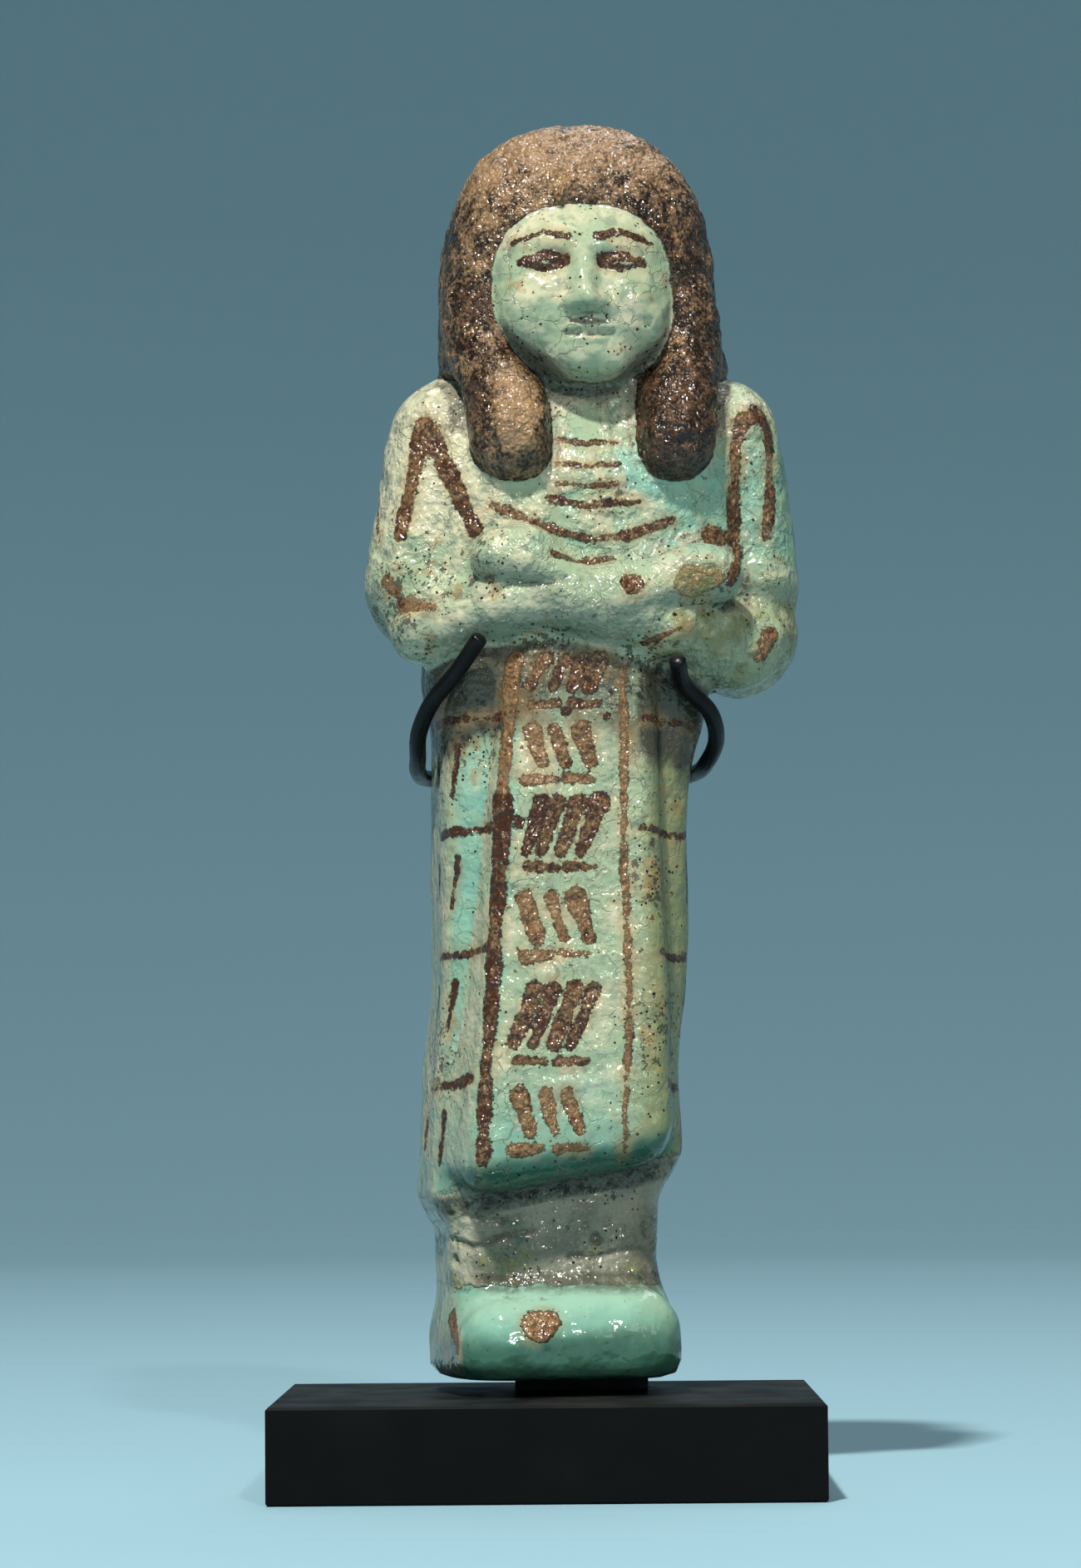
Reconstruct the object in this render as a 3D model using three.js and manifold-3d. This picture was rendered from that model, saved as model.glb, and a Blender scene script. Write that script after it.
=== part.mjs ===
// An ushabti, the small servant figure that was laid in an Egyptian tomb, of glazed faience. It wears
// the dress of the living: a long wig with two lappets on the chest, and a kilt with a stiff apron
// that flares towards the hem. The arms are crossed over the waist. It stands on a black display block,
// where a thin pad levels its foot and a wire cradle on a post holds it round the waist.
// Millimetres, +Z up. The figure faces -Y. The origin is the middle of the block's underside.

import * as THREE from "three";
import Module from "manifold-3d";
import { mergeVertices } from "three/addons/utils/BufferGeometryUtils.js";

const { degToRad, lerp, smoothstep: rise } = THREE.MathUtils;

// ---- The display stand ----
const BLOCK = { width: 60, depth: 48, height: 10.5, arris: 0.3 };
const PAD = { width: 15, depth: 11, height: 1.2, x: 3.8, y: 9.5, arris: 0.2 };
const WIRE_RADIUS = 0.95;
const POST_RADIUS = 1.3;
const POST_SIDES = 14;
const POST_SUNK = 7;
const CLAMP_HEIGHT = 68.2; // above the figure's foot
const GAP = 0.3; // between pieces that touch
const PRONG_STEPS = 22;

// Stops along the prong under each arm, from the back to the tip: the angle from the front in
// degrees, the height, and how far the wire bows away from the figure.
const RIGHT_ARM_STOPS = [
  [158, 68.2, 0.3],
  [128, 68.2, 0.5],
  [104, 68.6, 0.5],
  [90, 69.8, 0.9],
  [78, 72.3, 1.1],
  [66, 75.6, 0.6],
  [56, 78.9, 0.4],
  [47, 82.2, 0.2],
];
const LEFT_ARM_STOPS = [
  [158, 68.2, 0.3],
  [128, 68.2, 0.5],
  [104, 68.5, 0.5],
  [88, 69.3, 0.8],
  [74, 71.6, 0.9],
  [59, 74.5, 0.5],
  [46, 77.3, 0.4],
  [35, 79.7, 0.2],
];

// ---- How the figure stands ----
const SETBACK = 6.5; // behind the middle of the block
const SIDESTEP = 0.3;
const TURN = 10; // degrees: the foot and the kilt point a little to the figure's left

// The figure was shaped by hand, so its upright axis wanders: its height, how far it has moved
// sideways there, and how many degrees the section has turned back towards the front.
const AXIS = [
  { height: 0, aside: 0.2, twist: 0 },
  { height: 14, aside: -0.4, twist: 0 },
  { height: 28, aside: 0.25, twist: 0 },
  { height: 45, aside: 1.35, twist: -1 },
  { height: 65, aside: 1.85, twist: -1 },
  { height: 76, aside: 2.4, twist: -2 },
  { height: 88, aside: 4.6, twist: -3 },
  { height: 110, aside: 4.9, twist: -4 },
  { height: 124, aside: 4.2, twist: -7 },
  { height: 144, aside: 4.1, twist: -7 },
];

// ---- Heights above the underside of the foot ----
const CROWN = 143.2;
const TEMPLE = 121;
const FOOT_TOP = 9.6;
const HEM = { height: 21.2, aslope: 0.16, back: 0.16 };
const APRON_TOP = 86;
const WAIST = 68.5;
const ELBOW = 84;
const WRIST = 87;
const SHOULDER = 107;
const LAPPET_END = 105.4;
const WIG_END = 113;
const MOUTH = 117;
const NOSE_BASE = 119.6;
const EYES = 125;
const BROWS = 127.4;

// ---- Half widths, and depths in front of and behind the upright axis ----
const LEGS_WIDE = 11.95;
const KILT_WIDE = 14.4;
const CHEST_WIDE = 18.9;
const NECK_WIDE = 9.6;
const LEGS_FRONT = 9.4;
const CHEST_FRONT = 11.4;
const NECK_FRONT = 7;
const BACK = 11;
const FOOT = { wide: 12.6, front: 16, back: 9.6, round: 3.4, aslope: 0.08 };
const APRON = { wideLow: 11.2, wideHigh: 7.6, frontLow: 15.8, frontHigh: 11.3, flare: 0.3, back: -1 };
const WIG = { wide: 16, front: 12.3, back: 12.2, y: 1, square: 2.4, widen: 0.1 };
const UPPER_ARM = { neckOut: 8, shoulderOut: 17, elbowOut: 19.1, deep: 1.3 };
const ARM_RADIUS = { neck: 4.9, shoulder: 5.7, elbow: 6.1, bend: 5.6, fore: 4.8, cross: 3.7, over: 3.4 };
const ARM_FRONT = { elbow: -1.5, bend: -4.6, cross: -10.4, over: -12.2, fist: -11.6 };
const FIST = [4.9, 3.9, 3.6];
const FOREARMS = [
  { side: -1, out: 18, elbow: 85.1, corner: 2.4, middle: 86.4, wrist: 87.3, reachOver: 11.8, fist: 89.6 },
  { side: 1, out: 19.7, elbow: 82, corner: 0.3, middle: 83.9, wrist: 86.8, reachOver: -9, fist: 91.6 },
];
const FACE = { wide: 11.4, deep: 11.2, tall: 10.8, y: -2, z: 122.8, square: 2.5 };
const FACE_OPENING = { wide: 10.1, tall: 10.8, z: 121.5, square: 2.3, neck: 5, back: -7 };
const LAPPET = { x: 8.8, y: -9.9, radius: 5.1, topX: 11.3, topY: -5.2, topRadius: 4.4, flat: 1.15 };

// ---- The grid that samples the surface ----

// Columns of rays fan out from the axis. From the front round to the back, each sector reaches to an
// angle and holds a number of columns, and the other side mirrors them.
const KILT_FAN = fan([[17, 2], [36, 3], [50, 2], [66, 3], [115, 4], [140, 3], [180, 3]]);
const BODY_FAN = fan([[46, 14], [80, 7], [130, 4], [180, 3]]);
const CROWN_FAN = fan([[90, 8], [180, 5]]);

// Rows of rays start at a height on the axis and tilt upwards by some degrees. Each station has a
// number of rows between it and the next one.
const STATIONS = [
  { height: 0.02, tilt: 0, rows: 2, columns: KILT_FAN },
  { height: 1.2, tilt: 4, rows: 6, columns: KILT_FAN },
  { height: 7, tilt: 16, rows: 5, columns: KILT_FAN },
  { height: 15, tilt: 0, rows: 7, columns: KILT_FAN },
  { height: 28, tilt: -16, rows: 4, columns: KILT_FAN },
  { height: 55, tilt: 0, rows: 4, columns: KILT_FAN },
  { height: 75, tilt: 0, rows: 12, columns: BODY_FAN },
  { height: 88, tilt: -14, rows: 10, columns: BODY_FAN },
  { height: 98, tilt: 0, rows: 6, columns: BODY_FAN },
  { height: 105, tilt: 8, rows: 24, columns: BODY_FAN },
  { height: 127, tilt: 0, rows: 5, columns: BODY_FAN },
  { height: 127, tilt: 45, rows: 4, columns: CROWN_FAN },
  { height: 127, tilt: 90, rows: 0, columns: CROWN_FAN },
];
const UNDERSIDE_INSET = 0.5; // the underside has one more ring, this share of the way out
const REACH = 34; // the rays are followed inwards from here
const MARCH_STEPS = 90;
const MARCH_CAUTION = 0.7;
const MARCH_END = 1e-3;

// ---- Distance fields: negative inside, positive outside, in millimetres ----

// The union of two fields, with a fillet about as wide as blend.
function join(a, b, blend) {
  const near = Math.max(blend - Math.abs(a - b), 0) / blend;
  return Math.min(a, b) - (near * near * blend) / 4;
}

const meet = (a, b, blend) => -join(-a, -b, blend);
const carve = (a, b, blend) => meet(a, -b, blend);

// A block with rounded sides: |x/a|^n + |y/b|^n + |z/c|^n = 1, measured along the line to its middle.
function superellipsoid(x, y, z, a, b, c, n) {
  const size = (Math.abs(x / a) ** n + Math.abs(y / b) ** n + Math.abs(z / c) ** n) ** (1 / n);
  return size < 1e-6 ? -Math.min(a, b, c) : Math.hypot(x, y, z) * (1 - 1 / size);
}

const ellipsoid = ([x, y, z], [cx, cy, cz], [a, b, c]) =>
  superellipsoid(x - cx, y - cy, z - cz, a, b, c, 2);

// A rounded limb from one point to another, with a radius at each end.
function limb([x, y, z], from, to, fromRadius, toRadius) {
  const along = [to[0] - from[0], to[1] - from[1], to[2] - from[2]];
  const rel = [x - from[0], y - from[1], z - from[2]];
  const dot = rel[0] * along[0] + rel[1] * along[1] + rel[2] * along[2];
  const share = Math.min(Math.max(dot / Math.hypot(...along) ** 2, 0), 1);
  const gap = rel.map((value, i) => value - along[i] * share);
  return Math.hypot(...gap) - lerp(fromRadius, toRadius, share);
}

function roundedBox([x, y, z], [cx, cy, cz], [a, b, c], round) {
  const out = [Math.abs(x - cx) - a, Math.abs(y - cy) - b, Math.abs(z - cz) - c];
  const beyond = out.map((value) => Math.max(value + round, 0));
  return Math.hypot(...beyond) + Math.min(Math.max(...out) + round, 0) - round;
}

// Chest, kilt and legs are one upright core: a squarish section that swells and narrows with height.
function core([x, y, z]) {
  const wide = LEGS_WIDE
    + (KILT_WIDE - LEGS_WIDE) * rise(z - HEM.aslope * x, HEM.height - 4, HEM.height + 2)
    + (CHEST_WIDE - KILT_WIDE) * rise(z, WAIST - 2, SHOULDER - 15)
    - (CHEST_WIDE - NECK_WIDE) * rise(z, SHOULDER - 4, SHOULDER + 10);
  const front = LEGS_FRONT
    + (CHEST_FRONT - LEGS_FRONT) * rise(z, WAIST, WRIST)
    - (CHEST_FRONT - NECK_FRONT) * rise(z, SHOULDER - 7, SHOULDER + 6);
  const square = lerp(4.5, 2.7, rise(z, WAIST - 2, WRIST));
  const section = superellipsoid(x, y, 0, wide, y < 0 ? front : BACK, 1, square);
  return meet(section, z - EYES, 2);
}

// The foot is a block with the toes run together, deeper in front than the legs.
function foot([x, y, z]) {
  const p = [x, y, z - FOOT.aslope * x];
  const middle = [0, (FOOT.back - FOOT.front) / 2, FOOT_TOP / 2 - 2];
  const half = [FOOT.wide, (FOOT.back + FOOT.front) / 2, FOOT_TOP / 2 + 2];
  return roundedBox(p, middle, half, FOOT.round);
}

// The apron is a wedge: a flat front that leans forward towards the hem, and sides that flare back.
function apron([x, y, z]) {
  const share = (z - HEM.height) / (APRON_TOP - HEM.height);
  const front = lerp(APRON.frontLow, APRON.frontHigh, share);
  const wide = lerp(APRON.wideLow, APRON.wideHigh, share) + APRON.flare * (y + front);
  const sides = (Math.abs(x) - wide) / Math.hypot(1, APRON.flare);
  const hem = HEM.height + HEM.aslope * x + HEM.back * (y + front) - z;
  const faces = meet(meet(sides, -y - front, 2.2), hem, 3);
  return meet(meet(faces, z - APRON_TOP, 4), y - APRON.back, 1);
}

// Upper arms hang at the sides. The forearms cross, and each ends in a fist on the other side.
function arms(p) {
  const [x, y, z] = p;
  const upper = [Math.abs(x), y / UPPER_ARM.deep, z];
  const neck = [UPPER_ARM.neckOut, 2, SHOULDER + 5.4];
  const shoulder = [UPPER_ARM.shoulderOut, 0.8, SHOULDER];
  const hanging = [UPPER_ARM.elbowOut, 0.4, ELBOW + 5.8];
  let arm = limb(upper, shoulder, hanging, ARM_RADIUS.shoulder, ARM_RADIUS.elbow);
  const slope = limb(upper, neck, [16, 0.8, SHOULDER], ARM_RADIUS.neck, ARM_RADIUS.bend);
  arm = join(arm, slope, 1);
  for (const row of FOREARMS) {
    const corner = [row.out * row.side, ARM_FRONT.elbow, row.elbow + row.corner];
    const from = [(row.out - 0.8) * row.side, ARM_FRONT.bend, row.elbow];
    const cross = [9.3 * row.side, ARM_FRONT.cross, row.middle];
    const over = [-2 * row.side, ARM_FRONT.over, row.wrist];
    const knuckles = [row.reachOver + 2 * row.side, ARM_FRONT.over, row.fist - 1];
    arm = join(arm, limb(p, corner, from, ARM_RADIUS.bend, ARM_RADIUS.fore), 2);
    let fore = limb(p, from, cross, ARM_RADIUS.fore, ARM_RADIUS.cross);
    fore = join(fore, limb(p, cross, over, ARM_RADIUS.cross, ARM_RADIUS.over), 1);
    fore = join(fore, limb(p, over, knuckles, ARM_RADIUS.over, 3.2), 1);
    fore = join(fore, ellipsoid(p, [row.reachOver, ARM_FRONT.fist, row.fist], FIST), 1);
    arm = join(arm, fore, 1);
  }
  return arm;
}

// The face is smooth, calm and regular, and sits a little behind the edge of the wig.
function face([x, y, z]) {
  const p = [Math.abs(x), y, z];
  const { wide, deep, tall, square } = FACE;
  const chin = ellipsoid(p, [0, -9.4, MOUTH - 2.2], [4.6, 3.4, 2.8]);
  const cheek = ellipsoid(p, [5.4, -9.6, NOSE_BASE], [3.6, 2.9, 3.6]);
  const socket = ellipsoid(p, [4.3, -13.8, EYES], [3.4, 1.8, 1.6]);
  const eye = ellipsoid(p, [4.2, -11.3, EYES], [2.6, 1.3, 1.1]);
  const brow = limb(p, [1.8, -12, BROWS], [7, -10, BROWS - 0.5], 0.8, 0.6);
  const nose = limb(p, [0, -11.9, EYES + 1], [0, -13.6, NOSE_BASE + 1], 1, 1.6);
  const nostril = ellipsoid(p, [1.5, -13, NOSE_BASE + 0.6], [1.2, 1.3, 1]);
  const upperLip = ellipsoid(p, [0, -12.2, MOUTH + 0.6], [3, 1.2, 0.8]);
  const lowerLip = ellipsoid(p, [0, -12.1, MOUTH - 0.8], [2.4, 1.2, 0.9]);
  let skin = superellipsoid(x, y - FACE.y, z - FACE.z, wide, deep, tall, square);
  skin = join(skin, chin, 2.5);
  skin = join(skin, cheek, 2.5);
  skin = carve(skin, socket, 1.6);
  skin = join(skin, eye, 0.4);
  skin = join(skin, brow, 1.6);
  skin = join(skin, nose, 1.2);
  skin = join(skin, nostril, 0.8);
  skin = join(skin, upperLip, 0.5);
  return join(skin, lowerLip, 0.4);
}

// The wig is a heavy cap, open round the face and between its two lappets.
function wig([x, y, z]) {
  const across = Math.abs(x);
  const back = y - WIG.y;
  const deep = back < 0 ? WIG.front : WIG.back;
  const wide = WIG.wide + WIG.widen * Math.max(TEMPLE - z, 0);
  const up = Math.max(z - TEMPLE, 0);
  let hair = superellipsoid(x, back, up, wide, deep, CROWN - TEMPLE, WIG.square);
  hair = meet(hair, WIG_END - z, 2.5);
  const top = [LAPPET.topX, LAPPET.topY, WIG_END + 7];
  const end = [LAPPET.x, LAPPET.y * LAPPET.flat, LAPPET_END];
  const lappet = limb([across, y * LAPPET.flat, z], top, end, LAPPET.topRadius, LAPPET.radius);
  hair = join(hair, lappet, 2);
  const gap = FACE_OPENING;
  const round = superellipsoid(x, 0, z - gap.z, gap.wide, 1, gap.tall, gap.square);
  const between = Math.max(across - gap.neck, z - gap.z);
  const opening = Math.max(join(round, between, 2), y - gap.back);
  return carve(hair, opening, 2);
}

// Where the axis has wandered to at a height.
function wander(z) {
  const above = AXIS.findIndex(({ height }) => height > z);
  if (above <= 0) return above === 0 ? AXIS[0] : AXIS.at(-1);
  const [low, high] = [AXIS[above - 1], AXIS[above]];
  const share = rise(z, low.height, high.height);
  return { aside: lerp(low.aside, high.aside, share), twist: lerp(low.twist, high.twist, share) };
}

// The whole figure in its own frame, facing -Y, with its foot on z = 0.
function figure([x, y, z]) {
  const { aside, twist } = wander(z);
  const [cos, sin] = [Math.cos(degToRad(twist)), Math.sin(degToRad(twist))];
  const p = [(x - aside) * cos + y * sin, y * cos - (x - aside) * sin, z];
  let solid = join(core(p), foot(p), 4);
  solid = join(solid, apron(p), 0.8);
  solid = join(solid, arms(p), 1.2);
  solid = join(solid, join(face(p), wig(p), 1), 1);
  return meet(solid, -z, 1.5);
}

// ---- From the field to a mesh ----

// Where a ray from outside first comes within the given distance of the figure.
function reach(start, direction, distance = 0) {
  const at = (far) => start.map((value, i) => value + direction[i] * far);
  let far = REACH;
  for (let step = 0; step < MARCH_STEPS; step++) {
    const gap = figure(at(far)) - distance;
    if (Math.abs(gap) < MARCH_END) break;
    far -= Math.min(gap * MARCH_CAUTION, 1);
  }
  return at(far);
}

// The angles of a fan's columns, from the front all the way round, in radians.
function fan(sectors) {
  const half = [0];
  for (const [to, columns] of sectors) {
    const from = half.at(-1);
    for (let column = 1; column <= columns; column++) half.push(lerp(from, to, column / columns));
  }
  const mirrored = half.slice(1, -1).reverse();
  return [...half, ...mirrored.map((angle) => 360 - angle)].map(degToRad);
}

// One ring of the skin: where the rays of one row meet the figure.
function ring(height, tilt, columns) {
  const start = [wander(height).aside, 0, height];
  const points = columns.map((angle) => {
    const out = Math.cos(tilt);
    return reach(start, [Math.sin(angle) * out, -Math.cos(angle) * out, Math.sin(tilt)]);
  });
  return { columns, points };
}

function ringsUpwards() {
  const rings = [];
  STATIONS.slice(0, -1).forEach(({ height, tilt, rows, columns }, i) => {
    const next = STATIONS[i + 1];
    for (let row = 0; row < rows; row++) {
      const share = row / rows;
      rings.push(ring(lerp(height, next.height, share), degToRad(lerp(tilt, next.tilt, share)), columns));
    }
  });
  return rings;
}

// The figure's skin: the underside, the rings upwards and the crown.
function figureGeometry() {
  const [lowest, ...others] = ringsUpwards();
  const scaled = (share) => lowest.points.map(([x, y]) => [x * share, y * share, 0]);
  const inner = { columns: lowest.columns, points: scaled(UNDERSIDE_INSET) };
  const edge = { columns: lowest.columns, points: scaled(1) };
  const rings = [inner, edge, ...others];
  const top = STATIONS.at(-1).height;
  const crown = reach([wander(top).aside, 0, top], [0, 0, 1]);
  return closedSkin([0, 0, 0], rings, crown);
}

// Joins a point, the rings above it and a last point into one closed skin.
function closedSkin(first, rings, last) {
  const points = [first];
  for (const each of rings) {
    each.offset = points.length;
    points.push(...each.points);
  }
  points.push(last);
  const at = ({ offset, columns }, column) => offset + (column % columns.length);
  const [low, high] = [rings[0], rings.at(-1)];
  const faces = low.columns.flatMap((_, column) => [0, at(low, column + 1), at(low, column)]);
  for (let i = 0; i + 1 < rings.length; i++) faces.push(...zip(rings[i], rings[i + 1], at));
  high.columns.forEach((_, column) => {
    faces.push(points.length - 1, at(high, column), at(high, column + 1));
  });
  const geometry = new THREE.BufferGeometry();
  geometry.setAttribute("position", new THREE.Float32BufferAttribute(points.flat(), 3));
  geometry.setIndex(faces);
  geometry.computeVertexNormals();
  return geometry;
}

const distanceBetween = (a, b) => Math.hypot(a[0] - b[0], a[1] - b[1], a[2] - b[2]);

// Triangles between two rings, which may have different columns. The ring whose next column comes
// first moves on. Where both come together, the shorter diagonal is taken.
function zip(low, high, at) {
  const angle = ({ columns }, column) => columns[column] ?? 2 * Math.PI;
  const point = ({ points }, column) => points[column % points.length];
  const faces = [];
  let [i, j] = [0, 0];
  while (i < low.columns.length || j < high.columns.length) {
    const ahead = angle(low, i + 1) - angle(high, j + 1);
    const rising = distanceBetween(point(low, i), point(high, j + 1));
    const falling = distanceBetween(point(low, i + 1), point(high, j));
    const together = Math.abs(ahead) < 1e-9 && i < low.columns.length && j < high.columns.length;
    const moveLow = j === high.columns.length || (together ? falling < rising : ahead < 0);
    if (moveLow) {
      faces.push(at(low, i), at(low, i + 1), at(high, j));
      i++;
    } else {
      faces.push(at(low, i), at(high, j + 1), at(high, j));
      j++;
    }
  }
  return faces;
}

// ---- The stand's pieces ----

const wasm = await Module();
wasm.setup();

function solidOf(geometry) {
  const bare = geometry.index ? geometry.toNonIndexed() : geometry.clone();
  bare.deleteAttribute("normal");
  bare.deleteAttribute("uv");
  const merged = mergeVertices(bare, 1e-4);
  return new wasm.Manifold(
    new wasm.Mesh({
      numProp: 3,
      vertProperties: merged.attributes.position.array,
      triVerts: new Uint32Array(merged.index.array),
    }),
  );
}

function geometryOf(solid) {
  const { vertProperties, triVerts } = solid.getMesh();
  const geometry = new THREE.BufferGeometry();
  geometry.setAttribute("position", new THREE.BufferAttribute(vertProperties, 3));
  geometry.setIndex(new THREE.BufferAttribute(triVerts, 1));
  return geometry.toNonIndexed();
}

// A rectangular plate with a small arris on every edge, standing on z = 0.
function plate({ width, depth, height, arris }) {
  const [a, b] = [width / 2 - arris, depth / 2 - arris];
  const outline = new THREE.Shape([
    new THREE.Vector2(-a, -b),
    new THREE.Vector2(a, -b),
    new THREE.Vector2(a, b),
    new THREE.Vector2(-a, b),
  ]);
  const bevel = { bevelSize: arris, bevelThickness: arris, bevelSegments: 1 };
  const slab = new THREE.ExtrudeGeometry(outline, { depth: height - 2 * arris, ...bevel });
  return slab.translate(0, 0, arris);
}

function upright(radius, low, high, { x, y }) {
  const rod = new THREE.CylinderGeometry(radius, radius, high - low, POST_SIDES);
  return rod.rotateX(Math.PI / 2).translate(x, y, (low + high) / 2);
}

// A place beside the figure: an angle from its front, a height, and a distance from its surface.
function beside(angle, height, distance) {
  const turn = degToRad(angle);
  const start = [wander(height).aside, 0, height];
  return new THREE.Vector3(...reach(start, [Math.sin(turn), -Math.cos(turn), 0], distance));
}

// One prong, from the post round the waist and up under the forearm. Each stop is an angle from the
// front, a height, and how far the wire bows away from the figure there.
function prong(side, stops, post) {
  const places = stops.map(([angle, height, bow]) =>
    beside(angle * side, height, WIRE_RADIUS + GAP + bow),
  );
  const section = new THREE.Shape().absarc(0, 0, WIRE_RADIUS, 0, 2 * Math.PI);
  return new THREE.ExtrudeGeometry(section, {
    extrudePath: new THREE.CatmullRomCurve3([post, ...places]),
    steps: PRONG_STEPS,
    curveSegments: 4,
  });
}

// The top of the post, which stands clear of the foot, the kilt and the waist.
function postTop() {
  const heights = [FOOT_TOP / 2, HEM.height, CLAMP_HEIGHT];
  const clear = heights.map((height) => beside(180, height, POST_RADIUS + GAP));
  const furthest = Math.max(...clear.map(({ y }) => y));
  return new THREE.Vector3(wander(CLAMP_HEIGHT).aside, furthest, CLAMP_HEIGHT);
}

// The post and its two prongs, brazed into one, in the figure's frame.
function cradleGeometry(post) {
  const below = POST_SUNK + PAD.height + GAP;
  let solid = solidOf(upright(POST_RADIUS, -below, post.z + POST_RADIUS, post));
  solid = solid.add(solidOf(prong(-1, RIGHT_ARM_STOPS, post)));
  solid = solid.add(solidOf(prong(1, LEFT_ARM_STOPS, post)));
  return geometryOf(solid);
}

// The block, with the hole that the post stands in.
function blockGeometry(place) {
  const hole = upright(POST_RADIUS + GAP, BLOCK.height - POST_SUNK, BLOCK.height + 1, place);
  return geometryOf(solidOf(plate(BLOCK)).subtract(solidOf(hole)));
}

// ---- The object ----

const faience = new THREE.MeshStandardMaterial({ color: "#93b39a", roughness: 0.3, metalness: 0 });
const blackPaint = new THREE.MeshStandardMaterial({ color: "#15161a", roughness: 0.55, metalness: 0 });
const blackWire = new THREE.MeshStandardMaterial({ color: "#0e0f12", roughness: 0.45, metalness: 0 });
const blackPad = new THREE.MeshStandardMaterial({ color: "#101012", roughness: 0.8, metalness: 0 });

function piece(name, geometry, material) {
  const mesh = new THREE.Mesh(geometry, material);
  mesh.name = name;
  return mesh;
}

const post = postTop();
const standing = new THREE.Group();
standing.position.set(SIDESTEP, SETBACK, BLOCK.height + PAD.height + 2 * GAP);
standing.rotation.z = degToRad(TURN);
standing.add(piece("figurine", figureGeometry(), faience));
standing.add(piece("wire_cradle", cradleGeometry(post), blackWire));
standing.updateMatrixWorld();

const pad = piece("rest_pad", plate(PAD), blackPad);
pad.position.set(PAD.x, PAD.y, BLOCK.height + GAP);

const object = new THREE.Group();
object.add(standing);
object.add(pad);
object.add(piece("stand_block", blockGeometry(standing.localToWorld(post.clone())), blackPaint));

export default object;
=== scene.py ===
import math

import bpy
import numpy as np
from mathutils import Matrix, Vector


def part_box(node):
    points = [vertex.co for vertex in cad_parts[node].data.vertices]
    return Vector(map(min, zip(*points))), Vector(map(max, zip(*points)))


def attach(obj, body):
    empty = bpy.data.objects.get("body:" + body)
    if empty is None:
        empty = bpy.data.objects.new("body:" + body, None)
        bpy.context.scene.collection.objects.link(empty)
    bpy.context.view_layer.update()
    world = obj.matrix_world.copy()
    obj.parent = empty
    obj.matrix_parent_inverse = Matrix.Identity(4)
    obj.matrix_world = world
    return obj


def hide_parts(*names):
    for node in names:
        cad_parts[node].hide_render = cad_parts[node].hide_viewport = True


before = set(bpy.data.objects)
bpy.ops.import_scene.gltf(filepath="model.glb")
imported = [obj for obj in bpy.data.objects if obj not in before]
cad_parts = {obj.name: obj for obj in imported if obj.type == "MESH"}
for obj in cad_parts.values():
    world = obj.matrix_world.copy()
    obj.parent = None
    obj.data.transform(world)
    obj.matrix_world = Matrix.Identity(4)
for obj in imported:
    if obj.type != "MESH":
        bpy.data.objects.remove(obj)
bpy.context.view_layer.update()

MM = 0.001


# ---- The display block ----
# A solid block of fine-grained board, sawn square and sprayed matt black, with its arrises just
# broken by a sanding pad. A hole drilled in its top takes the post of the cradle.

BLOCK_BLACK = (0.0035, 0.0038, 0.0041, 1)
BLOCK_WORN = (0.008, 0.0083, 0.0088, 1)
DUST_COLOUR = (0.34, 0.33, 0.3, 1)


def node(tree, kind, inputs=(), **settings):
    """Adds a shader node. Each input is a plain value, or another node's output, which is linked."""
    made = tree.nodes.new("ShaderNode" + kind)
    for name, value in settings.items():
        setattr(made, name, value)
    for key, value in dict(inputs).items():
        if isinstance(value, bpy.types.NodeSocket):
            tree.links.new(value, made.inputs[key])
        else:
            made.inputs[key].default_value = value
    return made


def maths(tree, operation, first, second=0.0, clamp=False):
    """One sum on numbers: the operation's name as Blender has it, and its two values."""
    return node(tree, "Math", {0: first, 1: second}, operation=operation, use_clamp=clamp).outputs[0]


def mix(tree, share, first, second):
    """The first colour where share is 0, the second where it is 1."""
    return node(tree, "Mix", {0: share, 6: first, 7: second}, data_type="RGBA").outputs[2]


def ramp(tree, value, low, high, to_low=0.0, to_high=1.0):
    """An S-curve from to_low, at value low, to to_high, at value high."""
    inputs = {0: value, 1: low, 2: high, 3: to_low, 4: to_high}
    return node(tree, "MapRange", inputs, interpolation_type="SMOOTHSTEP").outputs[0]


def grain(tree, place, size, detail=3.0, roughness=0.55):
    """Cloudy noise from 0 to 1 whose patches are about size millimetres across."""
    inputs = {"Vector": place, "Scale": 1 / (size * MM), "Detail": detail, "Roughness": roughness}
    return node(tree, "TexNoise", inputs, noise_dimensions="3D").outputs[0]


def dust_group():
    """Dust: single motes, and a thin film that lies only where the surface faces up."""
    group = bpy.data.node_groups.new("Dust", "ShaderNodeTree")
    sockets = {"Place": "Vector", "Motes per metre": "Float", "Mote share": "Float", "Film": "Float"}
    for label, kind in sockets.items():
        group.interface.new_socket(label, in_out="INPUT", socket_type="NodeSocket" + kind)
    group.interface.new_socket("Mask", in_out="OUTPUT", socket_type="NodeSocketFloat")
    given, result = group.nodes.new("NodeGroupInput").outputs, group.nodes.new("NodeGroupOutput").inputs
    cells = node(group, "TexVoronoi", {"Vector": given["Place"], "Scale": given["Motes per metre"]})
    here = node(group, "SeparateColor", {0: cells.outputs["Color"]}).outputs[0]
    chosen = maths(group, "LESS_THAN", here, given["Mote share"])
    mote = maths(group, "MULTIPLY", ramp(group, cells.outputs["Distance"], 0.03, 0.07, 1, 0), chosen)
    facing = node(group, "SeparateXYZ", {0: node(group, "NewGeometry").outputs["Normal"]}).outputs[2]
    upward = ramp(group, facing, 0.5, 0.98)
    cloud = ramp(group, grain(group, given["Place"], 9), 0.3, 0.75)
    film = maths(group, "MULTIPLY", maths(group, "MULTIPLY", upward, cloud), given["Film"])
    group.links.new(maths(group, "MAXIMUM", mote, film, clamp=True), result["Mask"])
    return group


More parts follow.
